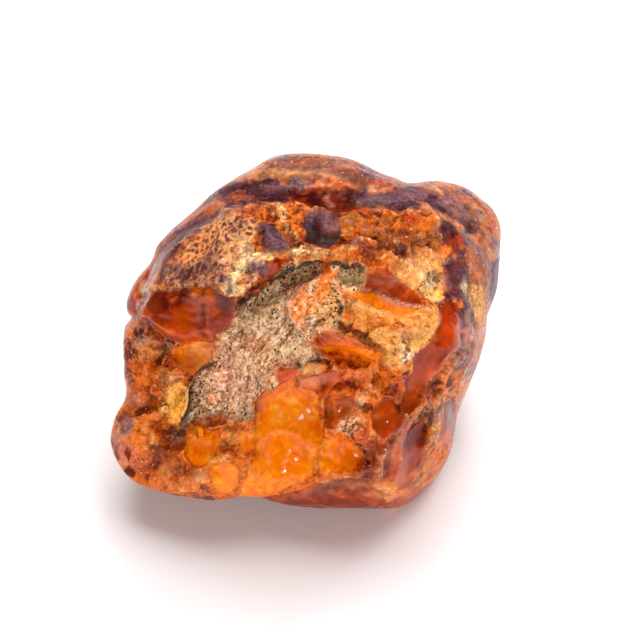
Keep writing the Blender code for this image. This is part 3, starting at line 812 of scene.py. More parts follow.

# %% Stains and painted highlights: the middle of the top
MIDDLE_STAINS_AND_HIGHLIGHTS = (
    ("umber", 380, 216, 40, 8, -6, 0.55), ("umber", 400, 240, 34, 12, 0, 0.55),
    ("red brown", 368, 232, 12, 12, 0, 0.4), ("red brown", 452, 278, 6, 20, 0, 0.9),
    ("umber", 340, 252, 16, 5, 0, 0.5), ("umber", 328, 230, 12, 16, 0, 0.4), ("brown", 303, 210, 10, 4, 0, 0.7),
    ("orange", 286, 233, 16, 2, -50, 0.8), ("plum", 313, 232, 9, 12, -25, 0.9), ("umber", 350, 222, 10, 14, 0, 0.6),
    # Painted highlight: the mauve ovals at 327, 219 and 322, 210 on the top of the dark block.
    ("brown", 338, 230, 6, 10, 0, 0.7), ("mauve", 327, 219, 4, 7, 0, 0.8), ("mauve", 322, 210, 14, 2, 0, 0.6),
    ("dusk", 274, 236, 16, 8, -40, 0.8), ("tan", 280, 249, 12, 3, 5, 0.5), ("brown", 262, 238, 7, 9, 0, 0.5),
    ("red orange", 362, 208, 18, 4, -5, 0.8), ("umber", 372, 200, 14, 3, -8, 0.7),
    ("orange", 384, 222, 18, 3, -4, 0.9), ("orange", 352, 236, 5, 8, 0, 0.8), ("pink", 372, 228, 14, 4, -5, 0.45),
    ("brown", 384, 238, 12, 8, -10, 0.7), ("dusk", 360, 246, 10, 4, -20, 0.9), ("plum", 363, 250, 6, 3, -20, 0.8),
    ("brown", 378, 252, 12, 6, 0, 0.8), ("red orange", 416, 220, 12, 8, -20, 0.7),
    ("maroon", 440, 232, 9, 10, -20, 0.8), ("pink", 430, 236, 9, 5, 0, 0.4), ("brown", 424, 246, 12, 6, 0, 0.7),
    ("red brown", 402, 244, 8, 5, -30, 0.6), ("umber", 406, 259, 12, 5, 20, 0.8),
    ("peach", 428, 257, 17, 6, 0, 1.0), ("peach", 408, 270, 15, 8, -30, 1.0), ("orange", 444, 280, 5, 16, 0, 0.8),
    ("cream", 430, 277, 10, 8, 0, 0.8), ("orange", 372, 262, 16, 5, -10, 0.8),
    ("red orange", 452, 246, 6, 10, 0, 0.8), ("dusk", 450, 276, 7, 12, 0, 0.7), ("brown", 352, 262, 10, 5, 0, 0.6),
    ("orange", 330, 276, 7, 9, -40, 0.9), ("cream", 304, 249, 13, 3, 0, 0.8), ("cream", 428, 282, 7, 8, 20, 0.6),
)

# %% Stains and painted highlights: the hood
HOOD_STAINS_AND_HIGHLIGHTS = (
    ("dusk", 194, 270, 27, 8, 6, 0.6), ("plum", 178, 276, 12, 5, 10, 0.5), ("dusk", 208, 262, 12, 7, 20, 0.4),
    ("orange", 198, 238, 14, 5, 25, 0.45), ("orange", 184, 256, 14, 6, 25, 0.4),
    ("maroon", 190, 272, 28, 7, 5, 0.6), ("plum", 236, 226, 14, 7, 30, 0.5), ("dusk", 170, 268, 8, 12, -30, 0.5),
    ("brown", 222, 250, 20, 10, 20, 0.4), ("cream", 249, 250, 12, 5, -60, 1.0), ("cream", 240, 268, 16, 5, 60, 1.0),
    ("cream", 234, 289, 10, 3, -20, 0.9), ("cream", 262, 251, 10, 3, 0, 0.8), ("mauve", 284, 240, 7, 9, -40, 0.7),
    # Painted sheen: the mauve oval at 259, 267 on the hood's grey patch.
    ("dusk", 226, 282, 9, 7, -20, 0.8), ("mauve", 259, 267, 10, 8, 0, 1.0), ("dusk", 250, 276, 6, 4, 0, 0.7),
    ("maroon", 176, 293, 14, 7, 0, 0.9), ("orange", 204, 292, 10, 5, -10, 0.6), ("yellow", 191, 293, 4, 3, 0, 0.9),
    ("bright", 212, 291, 4, 4, 0, 0.6), ("maroon", 222, 293, 10, 5, -20, 0.8),
    ("red orange", 184, 322, 15, 18, 0, 1.0), ("bright", 182, 318, 9, 12, 0, 0.4),
    ("red brown", 192, 314, 26, 13, 0, 0.4), ("maroon", 203, 318, 3, 19, 4, 0.9),
    ("pink", 210, 320, 1.4, 15, 4, 0.5), ("maroon", 226, 304, 10, 16, 8, 0.85),
    ("maroon", 150, 304, 12, 15, 20, 0.7), ("orange", 163, 332, 10, 5, -10, 0.8),
    ("cream", 143, 286, 3, 7, -20, 0.8), ("tan", 138, 312, 2, 9, 0, 0.6), ("mauve", 141, 333, 10, 7, -20, 0.5),
    ("red brown", 222, 324, 8, 8, 0, 0.7), ("bright", 196, 340, 12, 3, 0, 0.5),
)

# %% Stains: the left slope and the lobe
SLOPE_STAINS = (
    ("olive", 135, 344, 9, 7, 0, 0.5), ("mauve", 168, 345, 6, 3, 0, 0.7), ("red brown", 157, 372, 7, 22, 4, 0.45),
    ("peach", 140, 351, 8, 9, 0, 0.5), ("orange", 137, 376, 6, 14, 0, 0.6), ("tan", 162, 388, 4, 12, 8, 0.5),
    ("orange", 146, 366, 5, 14, 0, 0.6), ("mauve", 136, 398, 9, 8, 20, 0.6), ("yellow", 172, 404, 9, 16, 15, 0.7),
    ("orange", 150, 390, 14, 20, 10, 0.6), ("tan", 158, 352, 10, 5, 10, 0.6), ("orange", 138, 360, 7, 10, 0, 0.5),
    ("orange", 132, 440, 12, 10, 0, 0.5), ("mauve", 174, 380, 5, 7, 0, 0.4), ("peach", 198, 356, 15, 10, 10, 0.8),
    ("bright", 206, 352, 6, 8, 0, 0.5), ("red orange", 186, 362, 6, 5, 20, 0.6), ("umber", 152, 456, 9, 9, 30, 0.5),
    ("red brown", 168, 452, 12, 16, -30, 0.6), ("red orange", 140, 462, 14, 10, -35, 0.5),
    ("orange", 170, 488, 26, 6, -12, 0.4), ("mauve", 124, 424, 10, 10, 30, 0.7), ("plum", 128, 428, 6, 5, 0, 0.6),
    ("mauve", 118, 452, 6, 12, 20, 0.5), ("red brown", 186, 474, 18, 6, 0, 0.6),
    ("orange", 158, 424, 12, 8, 35, 0.6),
)

# %% Stains and painted highlights: the lower middle
LOWER_STAINS_AND_HIGHLIGHTS = (
    ("orange", 214, 428, 10, 7, 0, 0.6), ("tan", 226, 438, 10, 6, -20, 0.5),
    ("red brown", 230, 448, 16, 5, 10, 0.5), ("tan", 216, 462, 10, 2.5, 8, 0.8),
    ("red brown", 252, 456, 8, 3, 0, 0.7), ("red brown", 258, 412, 5, 8, -20, 0.8),
    ("yellow", 282, 420, 14, 10, 30, 0.4), ("bright", 286, 450, 26, 26, 0, 0.7),
    ("orange", 292, 392, 22, 9, 10, 0.6), ("orange", 300, 488, 26, 6, 14, 0.6),
    ("yellow", 262, 470, 12, 12, 30, 0.4), ("red orange", 318, 418, 3, 14, 0, 0.6),
    # Painted reflection: the pink oval at 318, 376 along the ledge.
    ("pink", 318, 376, 20, 3, 3, 0.8), ("red orange", 289, 371, 11, 6, 10, 0.7),
    ("bright", 340, 456, 15, 13, -20, 0.8), ("orange", 338, 410, 15, 15, 0, 0.8),
    ("red orange", 345, 390, 26, 8, 10, 0.6), ("orange", 334, 394, 10, 4, 0, 0.7),
    ("red brown", 400, 424, 10, 8, 30, 0.7), ("orange", 368, 424, 10, 8, 0, 0.8),
    ("red brown", 370, 470, 18, 14, 60, 0.9), ("red orange", 356, 440, 16, 6, 20, 0.7),
    ("red brown", 394, 398, 10, 8, 0, 0.6), ("cream", 361, 399, 5, 4, 0, 0.8), ("peach", 357, 412, 6, 3, 0, 0.8),
    ("red orange", 384, 448, 8, 14, -40, 0.6), ("orange", 386, 414, 12, 16, 20, 0.8),
    ("orange", 354, 378, 12, 7, 0, 0.7), ("red orange", 336, 378, 10, 8, 0, 0.6),
    ("bright", 380, 382, 9, 7, 20, 0.8), ("red orange", 400, 388, 9, 12, 0, 0.7),
    ("orange", 366, 396, 9, 5, 0, 0.6), ("bright", 398, 402, 8, 3, 10, 0.6),
    ("red brown", 372, 446, 14, 10, -50, 0.6), ("red brown", 377, 470, 12, 7, 30, 0.5),
    ("red orange", 388, 416, 8, 14, 0, 0.8),
)

# %% Stains and painted highlights: the right side
RIGHT_STAINS_AND_HIGHLIGHTS = (
    ("brown", 376, 275, 16, 5, -20, 0.7), ("bright", 372, 298, 22, 4, -20, 0.8),
    ("bright", 404, 314, 16, 3, -4, 0.8), ("peach", 362, 306, 26, 4, -20, 0.8),
    ("orange", 384, 322, 12, 5, -20, 0.9), ("peach", 418, 322, 12, 5, 20, 0.7),
    ("red orange", 402, 330, 9, 4, -10, 0.8), ("orange", 358, 322, 16, 5, -25, 0.7),
    ("peach", 352, 334, 20, 3, -25, 0.8), ("cream", 402, 336, 5, 4, 0, 0.5), ("olive", 417, 336, 9, 5, 40, 0.6),
    # Painted highlight: the thin pink oval at 336, 333 on the top of the eye.
    ("tan", 392, 352, 10, 9, 0, 0.7), ("pink", 396, 364, 12, 6, -10, 0.4), ("pink", 336, 333, 16, 2.5, -18, 0.8),
    ("bright", 352, 357, 28, 5, -14, 1.0), ("red brown", 330, 358, 8, 3, 10, 0.6),
    ("orange", 352, 342, 24, 6, -12, 0.5), ("maroon", 322, 342, 8, 4, -20, 0.6),
    ("bright", 356, 351, 24, 3, -18, 0.9), ("red orange", 448, 326, 8, 24, 0, 0.85),
    ("red orange", 426, 376, 11, 28, -18, 0.8), ("bright", 430, 342, 9, 3, 40, 0.8),
    # Painted highlight: the pink ovals at 362, 289, 386, 295 and 409, 305 along the scoop's lip, and the cream one
    # at 465, 286 on the right ridge.
    ("pink", 362, 289, 12, 2.2, 4, 1.0), ("pink", 386, 295, 13, 2.2, -32, 1.0),
    ("pink", 409, 305, 16, 2.2, -14, 1.0), ("cream", 465, 286, 2, 5, 0, 0.9), ("pink", 452, 366, 5, 12, -14, 0.4),
    ("brown", 462, 356, 7, 12, 10, 0.7), ("orange", 445, 380, 7, 5, 0, 0.9),
    # Painted reflection: the pink oval at 396, 450 on the pink strip.
    ("red brown", 438, 396, 10, 8, 30, 0.6), ("pink", 396, 450, 7, 30, -28, 0.85),
    ("red brown", 418, 447, 11, 26, -16, 1.0), ("red orange", 413, 466, 10, 15, -20, 0.7),
    ("orange", 403, 482, 9, 9, -20, 0.9), ("orange", 440, 458, 6, 18, -24, 0.6),
    # Painted sheen: the mauve oval at 451, 420 on the side facet.
    ("mauve", 451, 420, 4, 20, -4, 0.9), ("tan", 372, 488, 20, 3, 6, 0.7), ("dusk", 322, 494, 24, 3, 14, 0.7),
    ("red brown", 330, 507, 50, 4, 0, 0.9), ("red orange", 412, 498, 14, 6, 20, 0.8),
    ("peach", 386, 496, 14, 4, 0, 0.7), ("orange", 428, 480, 8, 12, 30, 0.6), ("peach", 437, 448, 4, 20, -16, 0.8),
    ("orange", 441, 452, 5, 16, -24, 0.8), ("peach", 420, 484, 8, 8, -30, 0.7),
)

# %% Stains: the sand
SAND_STAINS = (
    ("cream", 276, 298, 16, 6, 30, 0.5), ("olive", 300, 274, 14, 5, 25, 0.6), ("cream", 349, 277, 14, 12, 0, 0.9),
    ("bright", 298, 304, 14, 22, -20, 0.75), ("tan", 326, 306, 14, 22, -10, 0.7),
    ("red brown", 296, 290, 5, 8, 30, 0.6), ("bright", 322, 290, 8, 12, -30, 0.8),
    ("cream", 258, 314, 12, 6, 40, 0.5), ("cream", 300, 350, 18, 7, 0, 0.6), ("olive", 262, 306, 16, 12, 30, 0.6),
    ("pink", 222, 372, 18, 22, -20, 0.45), ("olive", 314, 362, 10, 6, 0, 0.7), ("orange", 262, 346, 14, 8, 0, 0.25),
    ("cream", 250, 350, 20, 12, 20, 0.25), ("orange", 230, 420, 12, 7, 0, 0.5), ("orange", 214, 392, 4, 3, 0, 0.7),
    ("orange", 208, 400, 4, 3, 0, 0.7), ("pink", 246, 392, 18, 9, 30, 0.4),
)

# %% Vertices with stains and painted highlights
STAINS_AND_HIGHLIGHTS = (
    *TOP_STAINS_AND_HIGHLIGHTS, *MIDDLE_STAINS_AND_HIGHLIGHTS, *HOOD_STAINS_AND_HIGHLIGHTS, *SLOPE_STAINS, *LOWER_STAINS_AND_HIGHLIGHTS, *RIGHT_STAINS_AND_HIGHLIGHTS, *SAND_STAINS,
)
STAIN_EDGE = 0.55
STAIN_RAGGED = 0.45

here = np.stack([U, V, W], axis=1)
wander = value_noise(here, 2.2, 41) + 0.5 * value_noise(here, 0.9, 42)
ragged = value_noise(here, 1.3, 43) + value_noise(here, 0.6, 44)
STAIN_AND_HIGHLIGHT = np.zeros((len(U), 4))
for name, x, y, half_length, half_width, angle, strength in STAINS_AND_HIGHLIGHTS:
    (middle,) = on_face([(x, y)])
    radius = np.sqrt(oval(U, V, *middle, half_length * PIXEL, half_width * PIXEL, angle))
    half = min(half_length, half_width) * PIXEL
    thin = min(1.0, half / STAIN_EDGE)
    depth = (1 - radius) * half + STAIN_RAGGED * thin * ragged
    share = strength * fade(depth, STAIN_EDGE * thin) * IS_FRONT
    oval_colour = np.array(PAINTS[name][:3])
    STAIN_AND_HIGHLIGHT[:, :3] = np.where(STAIN_AND_HIGHLIGHT[:, 3:] > 0, STAIN_AND_HIGHLIGHT[:, :3], oval_colour)
    STAIN_AND_HIGHLIGHT[:, :3] += (oval_colour - STAIN_AND_HIGHLIGHT[:, :3]) * share[:, None]
    STAIN_AND_HIGHLIGHT[:, 3] += share * (1 - STAIN_AND_HIGHLIGHT[:, 3])
print(f"{len(STAINS_AND_HIGHLIGHTS)} stains cover {100 * (STAIN_AND_HIGHLIGHT[:, 3] > 0.3).mean():.0f}% of the vertices")

# %% [markdown]
# ## Fine relief
#
# Each finish has its own grain: the resin round the windows is chipped into shards, the rind is softly pitted,
# sand is granular, fresh breaks are smooth with faint rings, and a break lies a little lower than what is round
# it. The same distances that place the finishes blend these reliefs, so a shape and its colour end together.

# %% Tilted flakes
# Each break drops below its surroundings by this much at the middle of its loop, and more along U and along V by
# these slopes. So one side of a break ends in a small cliff and the other runs out flush. A break with a negative
# drop stands up instead.
FLAKE_EDGE = 0.16
FLAKE_TILTS = {
    "main window": (0.55, 0.03, 0.13), "far window": (0.4, 0.12, 0.14), "left window": (0.4, -0.10, 0.16),
    "middle panel": (0.2, 0.10, 0.10), "lip window": (0.35, -0.10, 0.14),
    "orange flake": (0.35, -0.08, 0.16), "scoop floor": (0.03, 0.0, 0.0), "under the eye": (0.25, 0.0, 0.15),
    "scoop hollow": (0.2, 0.0, 0.2), "hood end": (0.25, -0.05, 0.10), "lip faces": (0.3, 0.10, 0.05),
    "left strip": (0.2, -0.15, 0.0), "scoop wall": (0.03, 0.0, 0.0), "eye": (-0.5, 0.0, 0.10),
    "smooth band": (0.35, -0.15, 0.02), "second band": (0.2, -0.10, 0.08), "ledge": (-0.3, 0.0, 0.55),
    "ledge side": (0.2, 0.1, 0.1), "dark window": (0.2, -0.05, 0.12), "corner": (0.25, -0.05, 0.10),
    "pink strip": (0.25, -0.45, 0.15), "red flakes": (0.4, -0.2, 0.1),
    "top glass": (0.35, 0.0, 0.0), "under lip": (0.3, 0.0, 0.05), "side sheen": (0.2, 0.0, 0.1),
}


def flake_drop(loops):
    """The sum over loops of drop + along_u (u - mean u) + along_v (v - mean v) inside each. A loop with a positive
    drop is kept from rising anywhere."""
    total = np.zeros(len(U))
    for name, loop in loops.items():
        drop, along_u, along_v = FLAKE_TILTS[name]
        points = on_face(loop)
        middle_u, middle_v = np.mean(points, axis=0)
        amount = drop + along_u * (U - middle_u) + along_v * (V - middle_v)
        if drop > 0:
            amount = amount.clip(0)
        total += amount * step_up(U, V, points, FLAKE_EDGE)
    return total * IS_FRONT


# %% Where each kind of relief lies
# How far noise moves its edge, and half the width of that edge, both in millimetres.
GLASSY_EDGE = (0.22, 0.14)
SANDY_EDGE = (0.3, 0.3)
POLISHED_EDGE = (0.3, 0.4)
WEATHERED_EDGE = (0.5, 0.6)
RUST_EDGE = 0.5
# How much of the crust's relief plum skin and rust take away, and where chips end towards the rim.
PLUM_CALM, RUST_CALM = 0.75, 0.7
CHIPS_END, CHIPS_END_OVER = 0.85, 0.1


def covered(depth, shift, edge):
    """1 inside and 0 outside, where the depth is first moved by shift times noise."""
    return fade(depth + shift * wander, edge)


glassy = covered(np.maximum(DEPTHS["clear"], DEPTHS["red"]), *GLASSY_EDGE)
sandy = covered(DEPTHS["sand"], *SANDY_EDGE) * (1 - glassy)
polished = covered(DEPTHS["plum"], *POLISHED_EDGE) * (1 - glassy) * (1 - sandy)
weathered = covered(np.maximum(DEPTHS["rind"], DEPTHS["spotted"]), *WEATHERED_EDGE)
crusted = (1 - glassy) * (1 - sandy) * (1 - PLUM_CALM * polished)
crusted = crusted * (1 - RUST_CALM * fade(DEPTHS["rust"], RUST_EDGE))
chipped = crusted * (1 - weathered) * (1 - smooth((near_rim - CHIPS_END) / CHIPS_END_OVER))
for name, share in (("glassy", glassy), ("sandy", sandy), ("polished", polished), ("chipped", chipped)):
    print(f"{name}: {100 * share.mean():.0f}% of the vertices")

# %% Relief by finish
# Noises: size, height or slope, and seed.
PIT_CELLS = ((1.7, 0.08, 21), (0.9, 0.09, 22))
SHARD_CELLS = ((2.8, 0.24, 61), (1.4, 0.18, 63))
CRUST_ROLLS = ((0.55, 0.05, 23),)
SAND_ROLLS = ((1.5, 0.14, 31), (0.7, 0.11, 32), (0.4, 0.09, 33))
GLASS_ROLL, GLASS_ROLL_CELL, GLASS_SEED = 0.05, 1.6, 51
# The squared distance to the nearest node is about this share of the squared cell on average.
PIT_MEAN = 0.2
PIT_WARP, SHARD_WARP, RING_WARP = 0.3, 0.4, 0.35
PIT_LOSS = 0.6  # how much of the pits chips take away
# How much calmer the skin is at the rim, from which share of the radius, and over which share more.
FINE_CALM, FINE_CALM_FROM, FINE_CALM_OVER = 0.6, 0.9, 0.1
RIPPLES = (
    # (U, V) of the struck point, wave length, height, middle of the patch, radius of the patch.
    (-5.5, -23.0, 1.25, 0.020, -1.5, -13.0, 6.0),
    (4.5, -4.0, 0.70, 0.090, 0.8, -9.6, 2.4),
    (-17.0, -7.0, 0.65, 0.070, -13.4, -3.4, 1.7),
    (-14.0, -9.0, 0.9, 0.030, -12.0, -13.8, 2.6),
    (-13.5, 7.0, 1.0, 0.025, -13.0, 1.5, 4.0),
    (6.5, 9.0, 1.1, 0.030, 9.5, 3.6, 4.5),
    (18.0, -14.0, 1.2, 0.030, 12.8, -14.5, 3.5),
)

fine = -flake_drop(CLEAR) - flake_drop(RED)
for cell, depth, seed in PIT_CELLS:
    pits = shells(here + PIT_WARP * wander[:, None], cell, seed) - PIT_MEAN * cell**2
    fine += depth * (crusted - PIT_LOSS * chipped) * pits
for cell, slope, seed in SHARD_CELLS:
    fine += slope * chipped * shards(here + SHARD_WARP * wander[:, None], cell, seed)
for where, rolls in ((crusted, CRUST_ROLLS), (sandy, SAND_ROLLS)):
    for cell, height, seed in rolls:
        fine += height * where * value_noise(here, cell, seed)
for struck_u, struck_v, wave, height, middle_u, middle_v, radius in RIPPLES:
    rings = np.hypot(U - struck_u, V - struck_v) + RING_WARP * wander
    patch = np.exp(-((U - middle_u) ** 2 + (V - middle_v) ** 2) / radius**2) * IS_FRONT
    fine += height * glassy * patch * np.sin(2 * math.pi * rings / wave)
fine += GLASS_ROLL * glassy * value_noise(here, GLASS_ROLL_CELL, GLASS_SEED)
calm = 1 - FINE_CALM * smooth((near_rim - FINE_CALM_FROM) / FINE_CALM_OVER)
SKIN = SKIN + vertex_normals(SKIN) * (fine * calm)[:, None]
print("fine relief, mm:", fine.min().round(2), "to", fine.max().round(2))


# %% Edges and hollows
SMOOTHING_ROUNDS = 6


def neighbours_mean(values, rounds):
    """Each pass replaces a vertex's value by the mean over the cells round it."""
    count = np.bincount(QUADS.ravel(), minlength=len(values))
    for _ in range(rounds):
        cell_mean = values[QUADS].mean(axis=1)
        total = [np.bincount(QUADS.ravel(), np.repeat(cell_mean[:, k], 4), len(values)) for k in range(3)]
        values = np.stack(total, axis=1) / count[:, None]
    return values


smoothed = neighbours_mean(SKIN, SMOOTHING_ROUNDS)
EDGE = ((SKIN - smoothed) * vertex_normals(smoothed)).sum(axis=1)
print("edge height over its surroundings, mm:", np.percentile(EDGE, (1, 50, 99)).round(3))

# %% [markdown]
# ## Set down on its flat spot
#
# The skin is turned onto the ground and what lies below Z = 0 is pressed flat, which is the spot the lump rests
# on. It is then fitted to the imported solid's box, so the fine skin takes exactly the room of the solid.

# %% Fitted to the solid's box
placed = on_the_ground(SKIN)
placed[:, 2] = placed[:, 2].clip(0)
low, high = placed.min(axis=0), placed.max(axis=0)
fit = (CAD_HIGH - CAD_LOW) / (high - low)
print("fitted to the packed box by", np.round(fit / MM, 4))
placed = CAD_LOW + (placed - low) * fit


# %% The mesh
def added(name, data):
    """A new object with that data, in the scene."""
    made = bpy.data.objects.new(name, data)
    bpy.context.scene.collection.objects.link(made)
    return made


lump_mesh = bpy.data.meshes.new("amber_skin")
lump_mesh.from_pydata(placed.tolist(), [], QUADS.tolist())
lump_mesh.polygons.foreach_set("use_smooth", np.ones(len(QUADS), bool))
for name, values in {**DEPTHS, "edge": EDGE}.items():
    lump_mesh.attributes.new(name, "FLOAT", "POINT").data.foreach_set("value", values.astype(np.float32))
stain_and_highlight_data = lump_mesh.attributes.new("stain_and_highlight", "FLOAT_COLOR", "POINT").data
stain_and_highlight_data.foreach_set("color", STAIN_AND_HIGHLIGHT.astype(np.float32).ravel())
lump_mesh.update()
lump = added("amber_lump", lump_mesh)
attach(lump, "root")
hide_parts("amber_piece")
print(lump.name, "carries the distances to", ", ".join(DEPTHS), "and its edges and stains")

# %% [markdown]
# ## The amber's finish
#
# One material covers the lump, because its finishes run into each other. It is built from the bottom up, like a
# stack of paints: first the chipped resin, then each finish over it where its distance says so. Every layer brings
# a colour, a roughness, a relief and how much light it lets through.

# %% Nodes from plain calls
amber = bpy.data.materials.new("amber")
amber.use_nodes = True
tree = amber.node_tree
shader = tree.nodes["Principled BSDF"]
place = tree.nodes.new("ShaderNodeTexCoord").outputs["Object"]


def node(kind, inputs, **settings):
    """A node of that kind, with its settings, each input set to a number or colour or fed by a socket."""
    made = tree.nodes.new(kind)
    for name, value in settings.items():
        setattr(made, name, value)
    for key, value in inputs.items():
        if isinstance(value, bpy.types.NodeSocket):
            tree.links.new(value, made.inputs[key])
        else:
            made.inputs[key].default_value = value
    return made


def maths(operation, *values):
    """Arithmetic on numbers."""
    return node("ShaderNodeMath", dict(enumerate(values)), operation=operation).outputs[0]


def vectors(operation, *values):
    """Vector arithmetic: the number that the operation gives if it gives one, and otherwise the vector."""
    made = node("ShaderNodeVectorMath", dict(enumerate(values)), operation=operation)
    return made.outputs["Value" if operation == "DOT_PRODUCT" else "Vector"]


# %% Sums, products and blends
def total(*values):
    """The sum of several numbers."""
    return reduce(lambda result, value: maths("ADD", result, value), values)


def times(*values):
    """The product of several numbers."""
    return reduce(lambda result, value: maths("MULTIPLY", result, value), values)


def most(*values):
    """The greatest of several numbers."""
    return reduce(lambda result, value: maths("MAXIMUM", result, value), values)


def scaled(vector, factor):
    """The vector times a number."""
    return node("ShaderNodeVectorMath", {0: vector, "Scale": factor}, operation="SCALE").outputs[0]


def less(value):
    """One less the value."""
    return maths("SUBTRACT", 1.0, value)


def band(value, start, stop, low=0.0, high=1.0):
    """Rises smoothly from low at start to high at stop."""
    ends = {"Value": value, "From Min": start, "From Max": stop, "To Min": low, "To Max": high}
    return node("ShaderNodeMapRange", ends, interpolation_type="SMOOTHSTEP").outputs["Result"]


def mixed(share, first, second):
    """first where share is 0, second where it is 1, for colours."""
    return node("ShaderNodeMix", {0: share, 6: first, 7: second}, data_type="RGBA").outputs[2]


def between(share, first, second):
    """The same for numbers."""
    return node("ShaderNodeMix", {0: share, 2: first, 3: second}, data_type="FLOAT").outputs[0]


def over(surface, share, colour, roughness):
    """The surface, which is a colour and a roughness, covered by another pair where share is 1."""
    return mixed(share, surface[0], colour), between(share, surface[1], roughness)


# %% Noise in the material
def noise(size, detail=3.0, roughness=0.55, distortion=0.0, vector=None):
    """The noise node whose features are about size millimetres."""
    inputs = {"Scale": 1 / (size * MM), "Detail": detail, "Roughness": roughness, "Distortion": distortion}
    return node("ShaderNodeTexNoise", {**inputs, "Vector": vector or place})


def grain(*settings, vector=None):
    """Noise from 0 to 1."""
    return noise(*settings, vector=vector).outputs["Fac"]


def wobbled(size, amount):
    """The place, moved about by noise of that size by up to about that many millimetres."""
    shift = vectors("SUBTRACT", noise(size, 2.0).outputs["Color"], (0.5, 0.5, 0.5))
    return vectors("ADD", place, scaled(shift, 2 * amount * MM))


def drawn_out(angle, factor):
    """The place with features factor times as long along d, the way at that angle on the face:
    p - (1 - 1 / factor) (p . d) d, with d = cos a U + sin a V."""
    turned = math.radians(angle)
    way = (math.cos(turned), math.sin(turned) * math.sin(FACE_LEAN), math.sin(turned) * math.cos(FACE_LEAN))
    along = scaled(way, times(vectors("DOT_PRODUCT", place, way), 1 - 1 / factor))
    return vectors("SUBTRACT", place, along)


def cells(size, vector, **settings):
    """Cellular noise with cells of size millimetres."""
    return node("ShaderNodeTexVoronoi", {"Scale": 1 / (size * MM), "Vector": vector}, **settings)


def to_wall(size, vector):
    """Distance to the nearest wall between such cells, as a share of the cell."""
    return cells(size, vector, feature="DISTANCE_TO_EDGE").outputs["Distance"]


def facets(size, slope, vector):
    """Height in millimetres of cells that each tilt their own way: way from the cell's middle . random tilt."""
    made = cells(size, vector)
    way = vectors("SUBTRACT", vector, made.outputs["Position"])
    tilt = vectors("SUBTRACT", made.outputs["Color"], (0.5, 0.5, 0.5))
    return maths("MULTIPLY", vectors("DOT_PRODUCT", way, tilt), 2 * slope / MM)


# %% Colour ramps and what the vertices hold
def shades(value, *stops):
    """A run of colours along value. A stop is (position, red, green, blue), the colour as paint takes it."""
    made = node("ShaderNodeValToRGB", {"Fac": value})
    ramp = made.color_ramp
    while len(ramp.elements) < len(stops):
        ramp.elements.new(0.5)
    for element, (position, *colour) in zip(ramp.elements, stops):
        element.position = position
        element.color = paint(*colour)
    return made.outputs["Color"]


def laid(name, output="Fac"):
    """What the vertices hold under that name."""
    return node("ShaderNodeAttribute", {}, attribute_name=name).outputs[output]


def shade_of(made, channel=0):
    """A random number from 0 to 1 for each cell of a cellular noise. Each has three of them."""
    return node("ShaderNodeSeparateColor", {0: made.outputs["Color"]}).outputs[channel]


def told(layer):
    """Prints how many nodes there are once that layer is in."""
    print(f"{layer}: {len(tree.nodes)} nodes so far")


# %% How a finish ends
# Two sizes of noise, each about 0 in the mean, break the edge of every finish.
EDGE_SHIFT = 1.6
coarse = maths("SUBTRACT", grain(2.4, 4), 0.5)
small = maths("SUBTRACT", grain(0.55, 4, 0.6), 0.5)


def cover(name, ragged=1.0, softness=0.12):
    """1 inside that finish, 0 outside, with an edge broken by noise: ragged scales the noise."""
    shift = times(maths("ADD", coarse, small), EDGE_SHIFT * ragged)
    return band(maths("ADD", laid(name), shift), -softness, softness)


edge = laid("edge")
told("what all finishes share")

# %% [markdown]
# ## Chipped resin
#
# Round the windows the surface is resin crushed into smooth glossy chips of a millimetre or two, from red brown to
# orange. Air has crept in between them, so each chip has a shade of its own and a thin pale border. A cellular
# noise gives chips that fit together, which spots scattered at random would not.

# %% Chipped resin
CHIP = 1.3
wobbly = wobbled(1.0, 0.35)
chip = cells(CHIP, wobbly)
border = band(to_wall(CHIP, wobbly), 0.0, 0.12, 1.0, 0.0)
fleck = grain(0.4, 5, 0.65)
# The edge term is painted shade: the chips are lighter on crests and darker in hollows.
resin_tone = total(
    times(grain(2.6, 3), 0.45), times(fleck, 0.40), times(shade_of(chip), 0.20), times(border, 0.02),
    times(edge, 0.25), -0.05,
)
resin_paint = shades(
    resin_tone,
    (0.34, 110, 42, 24), (0.40, 152, 66, 32), (0.46, 200, 104, 50), (0.50, 232, 120, 28), (0.55, 238, 138, 48),
    (0.61, 218, 138, 82), (0.68, 246, 184, 108),
)
surface = resin_paint, band(resin_tone, 0.44, 0.66, 0.08, 0.26)
told("chipped resin")

# %% [markdown]
# ## Rind
#
# The weathered outside is duller and more purple: plum spots and mauve bloom over orange.

# %% Rind
rind = cover("rind", 1.2, 0.5)
# The edge term is painted shade: the rind is lighter on crests and darker in hollows.
rind_tone = total(times(grain(2.3, 3, 0.5), 0.68), times(grain(0.6, 4, 0.6), 0.32), times(edge, 0.3))
rind_paint = shades(
    rind_tone,
    (0.36, 78, 48, 60), (0.43, 112, 78, 86), (0.47, 142, 98, 90), (0.50, 172, 98, 60), (0.54, 212, 118, 54),
    (0.59, 184, 126, 100), (0.65, 226, 164, 116),
)
surface = over(surface, rind, rind_paint, band(rind_tone, 0.40, 0.60, 0.24, 0.44))
told("rind")

# %% Plum skin
plum = cover("plum", 0.9, 0.25)
plum_tone = total(times(grain(1.8, 3), 0.45), times(grain(0.4, 4, 0.65), 0.55))
plum_paint = shades(
    plum_tone,
    (0.38, 44, 12, 18), (0.46, 66, 26, 34), (0.52, 92, 48, 60), (0.58, 116, 74, 84), (0.63, 148, 88, 66),
    (0.70, 196, 120, 78),
)
surface = over(surface, plum, plum_paint, 0.42)
told("plum skin")

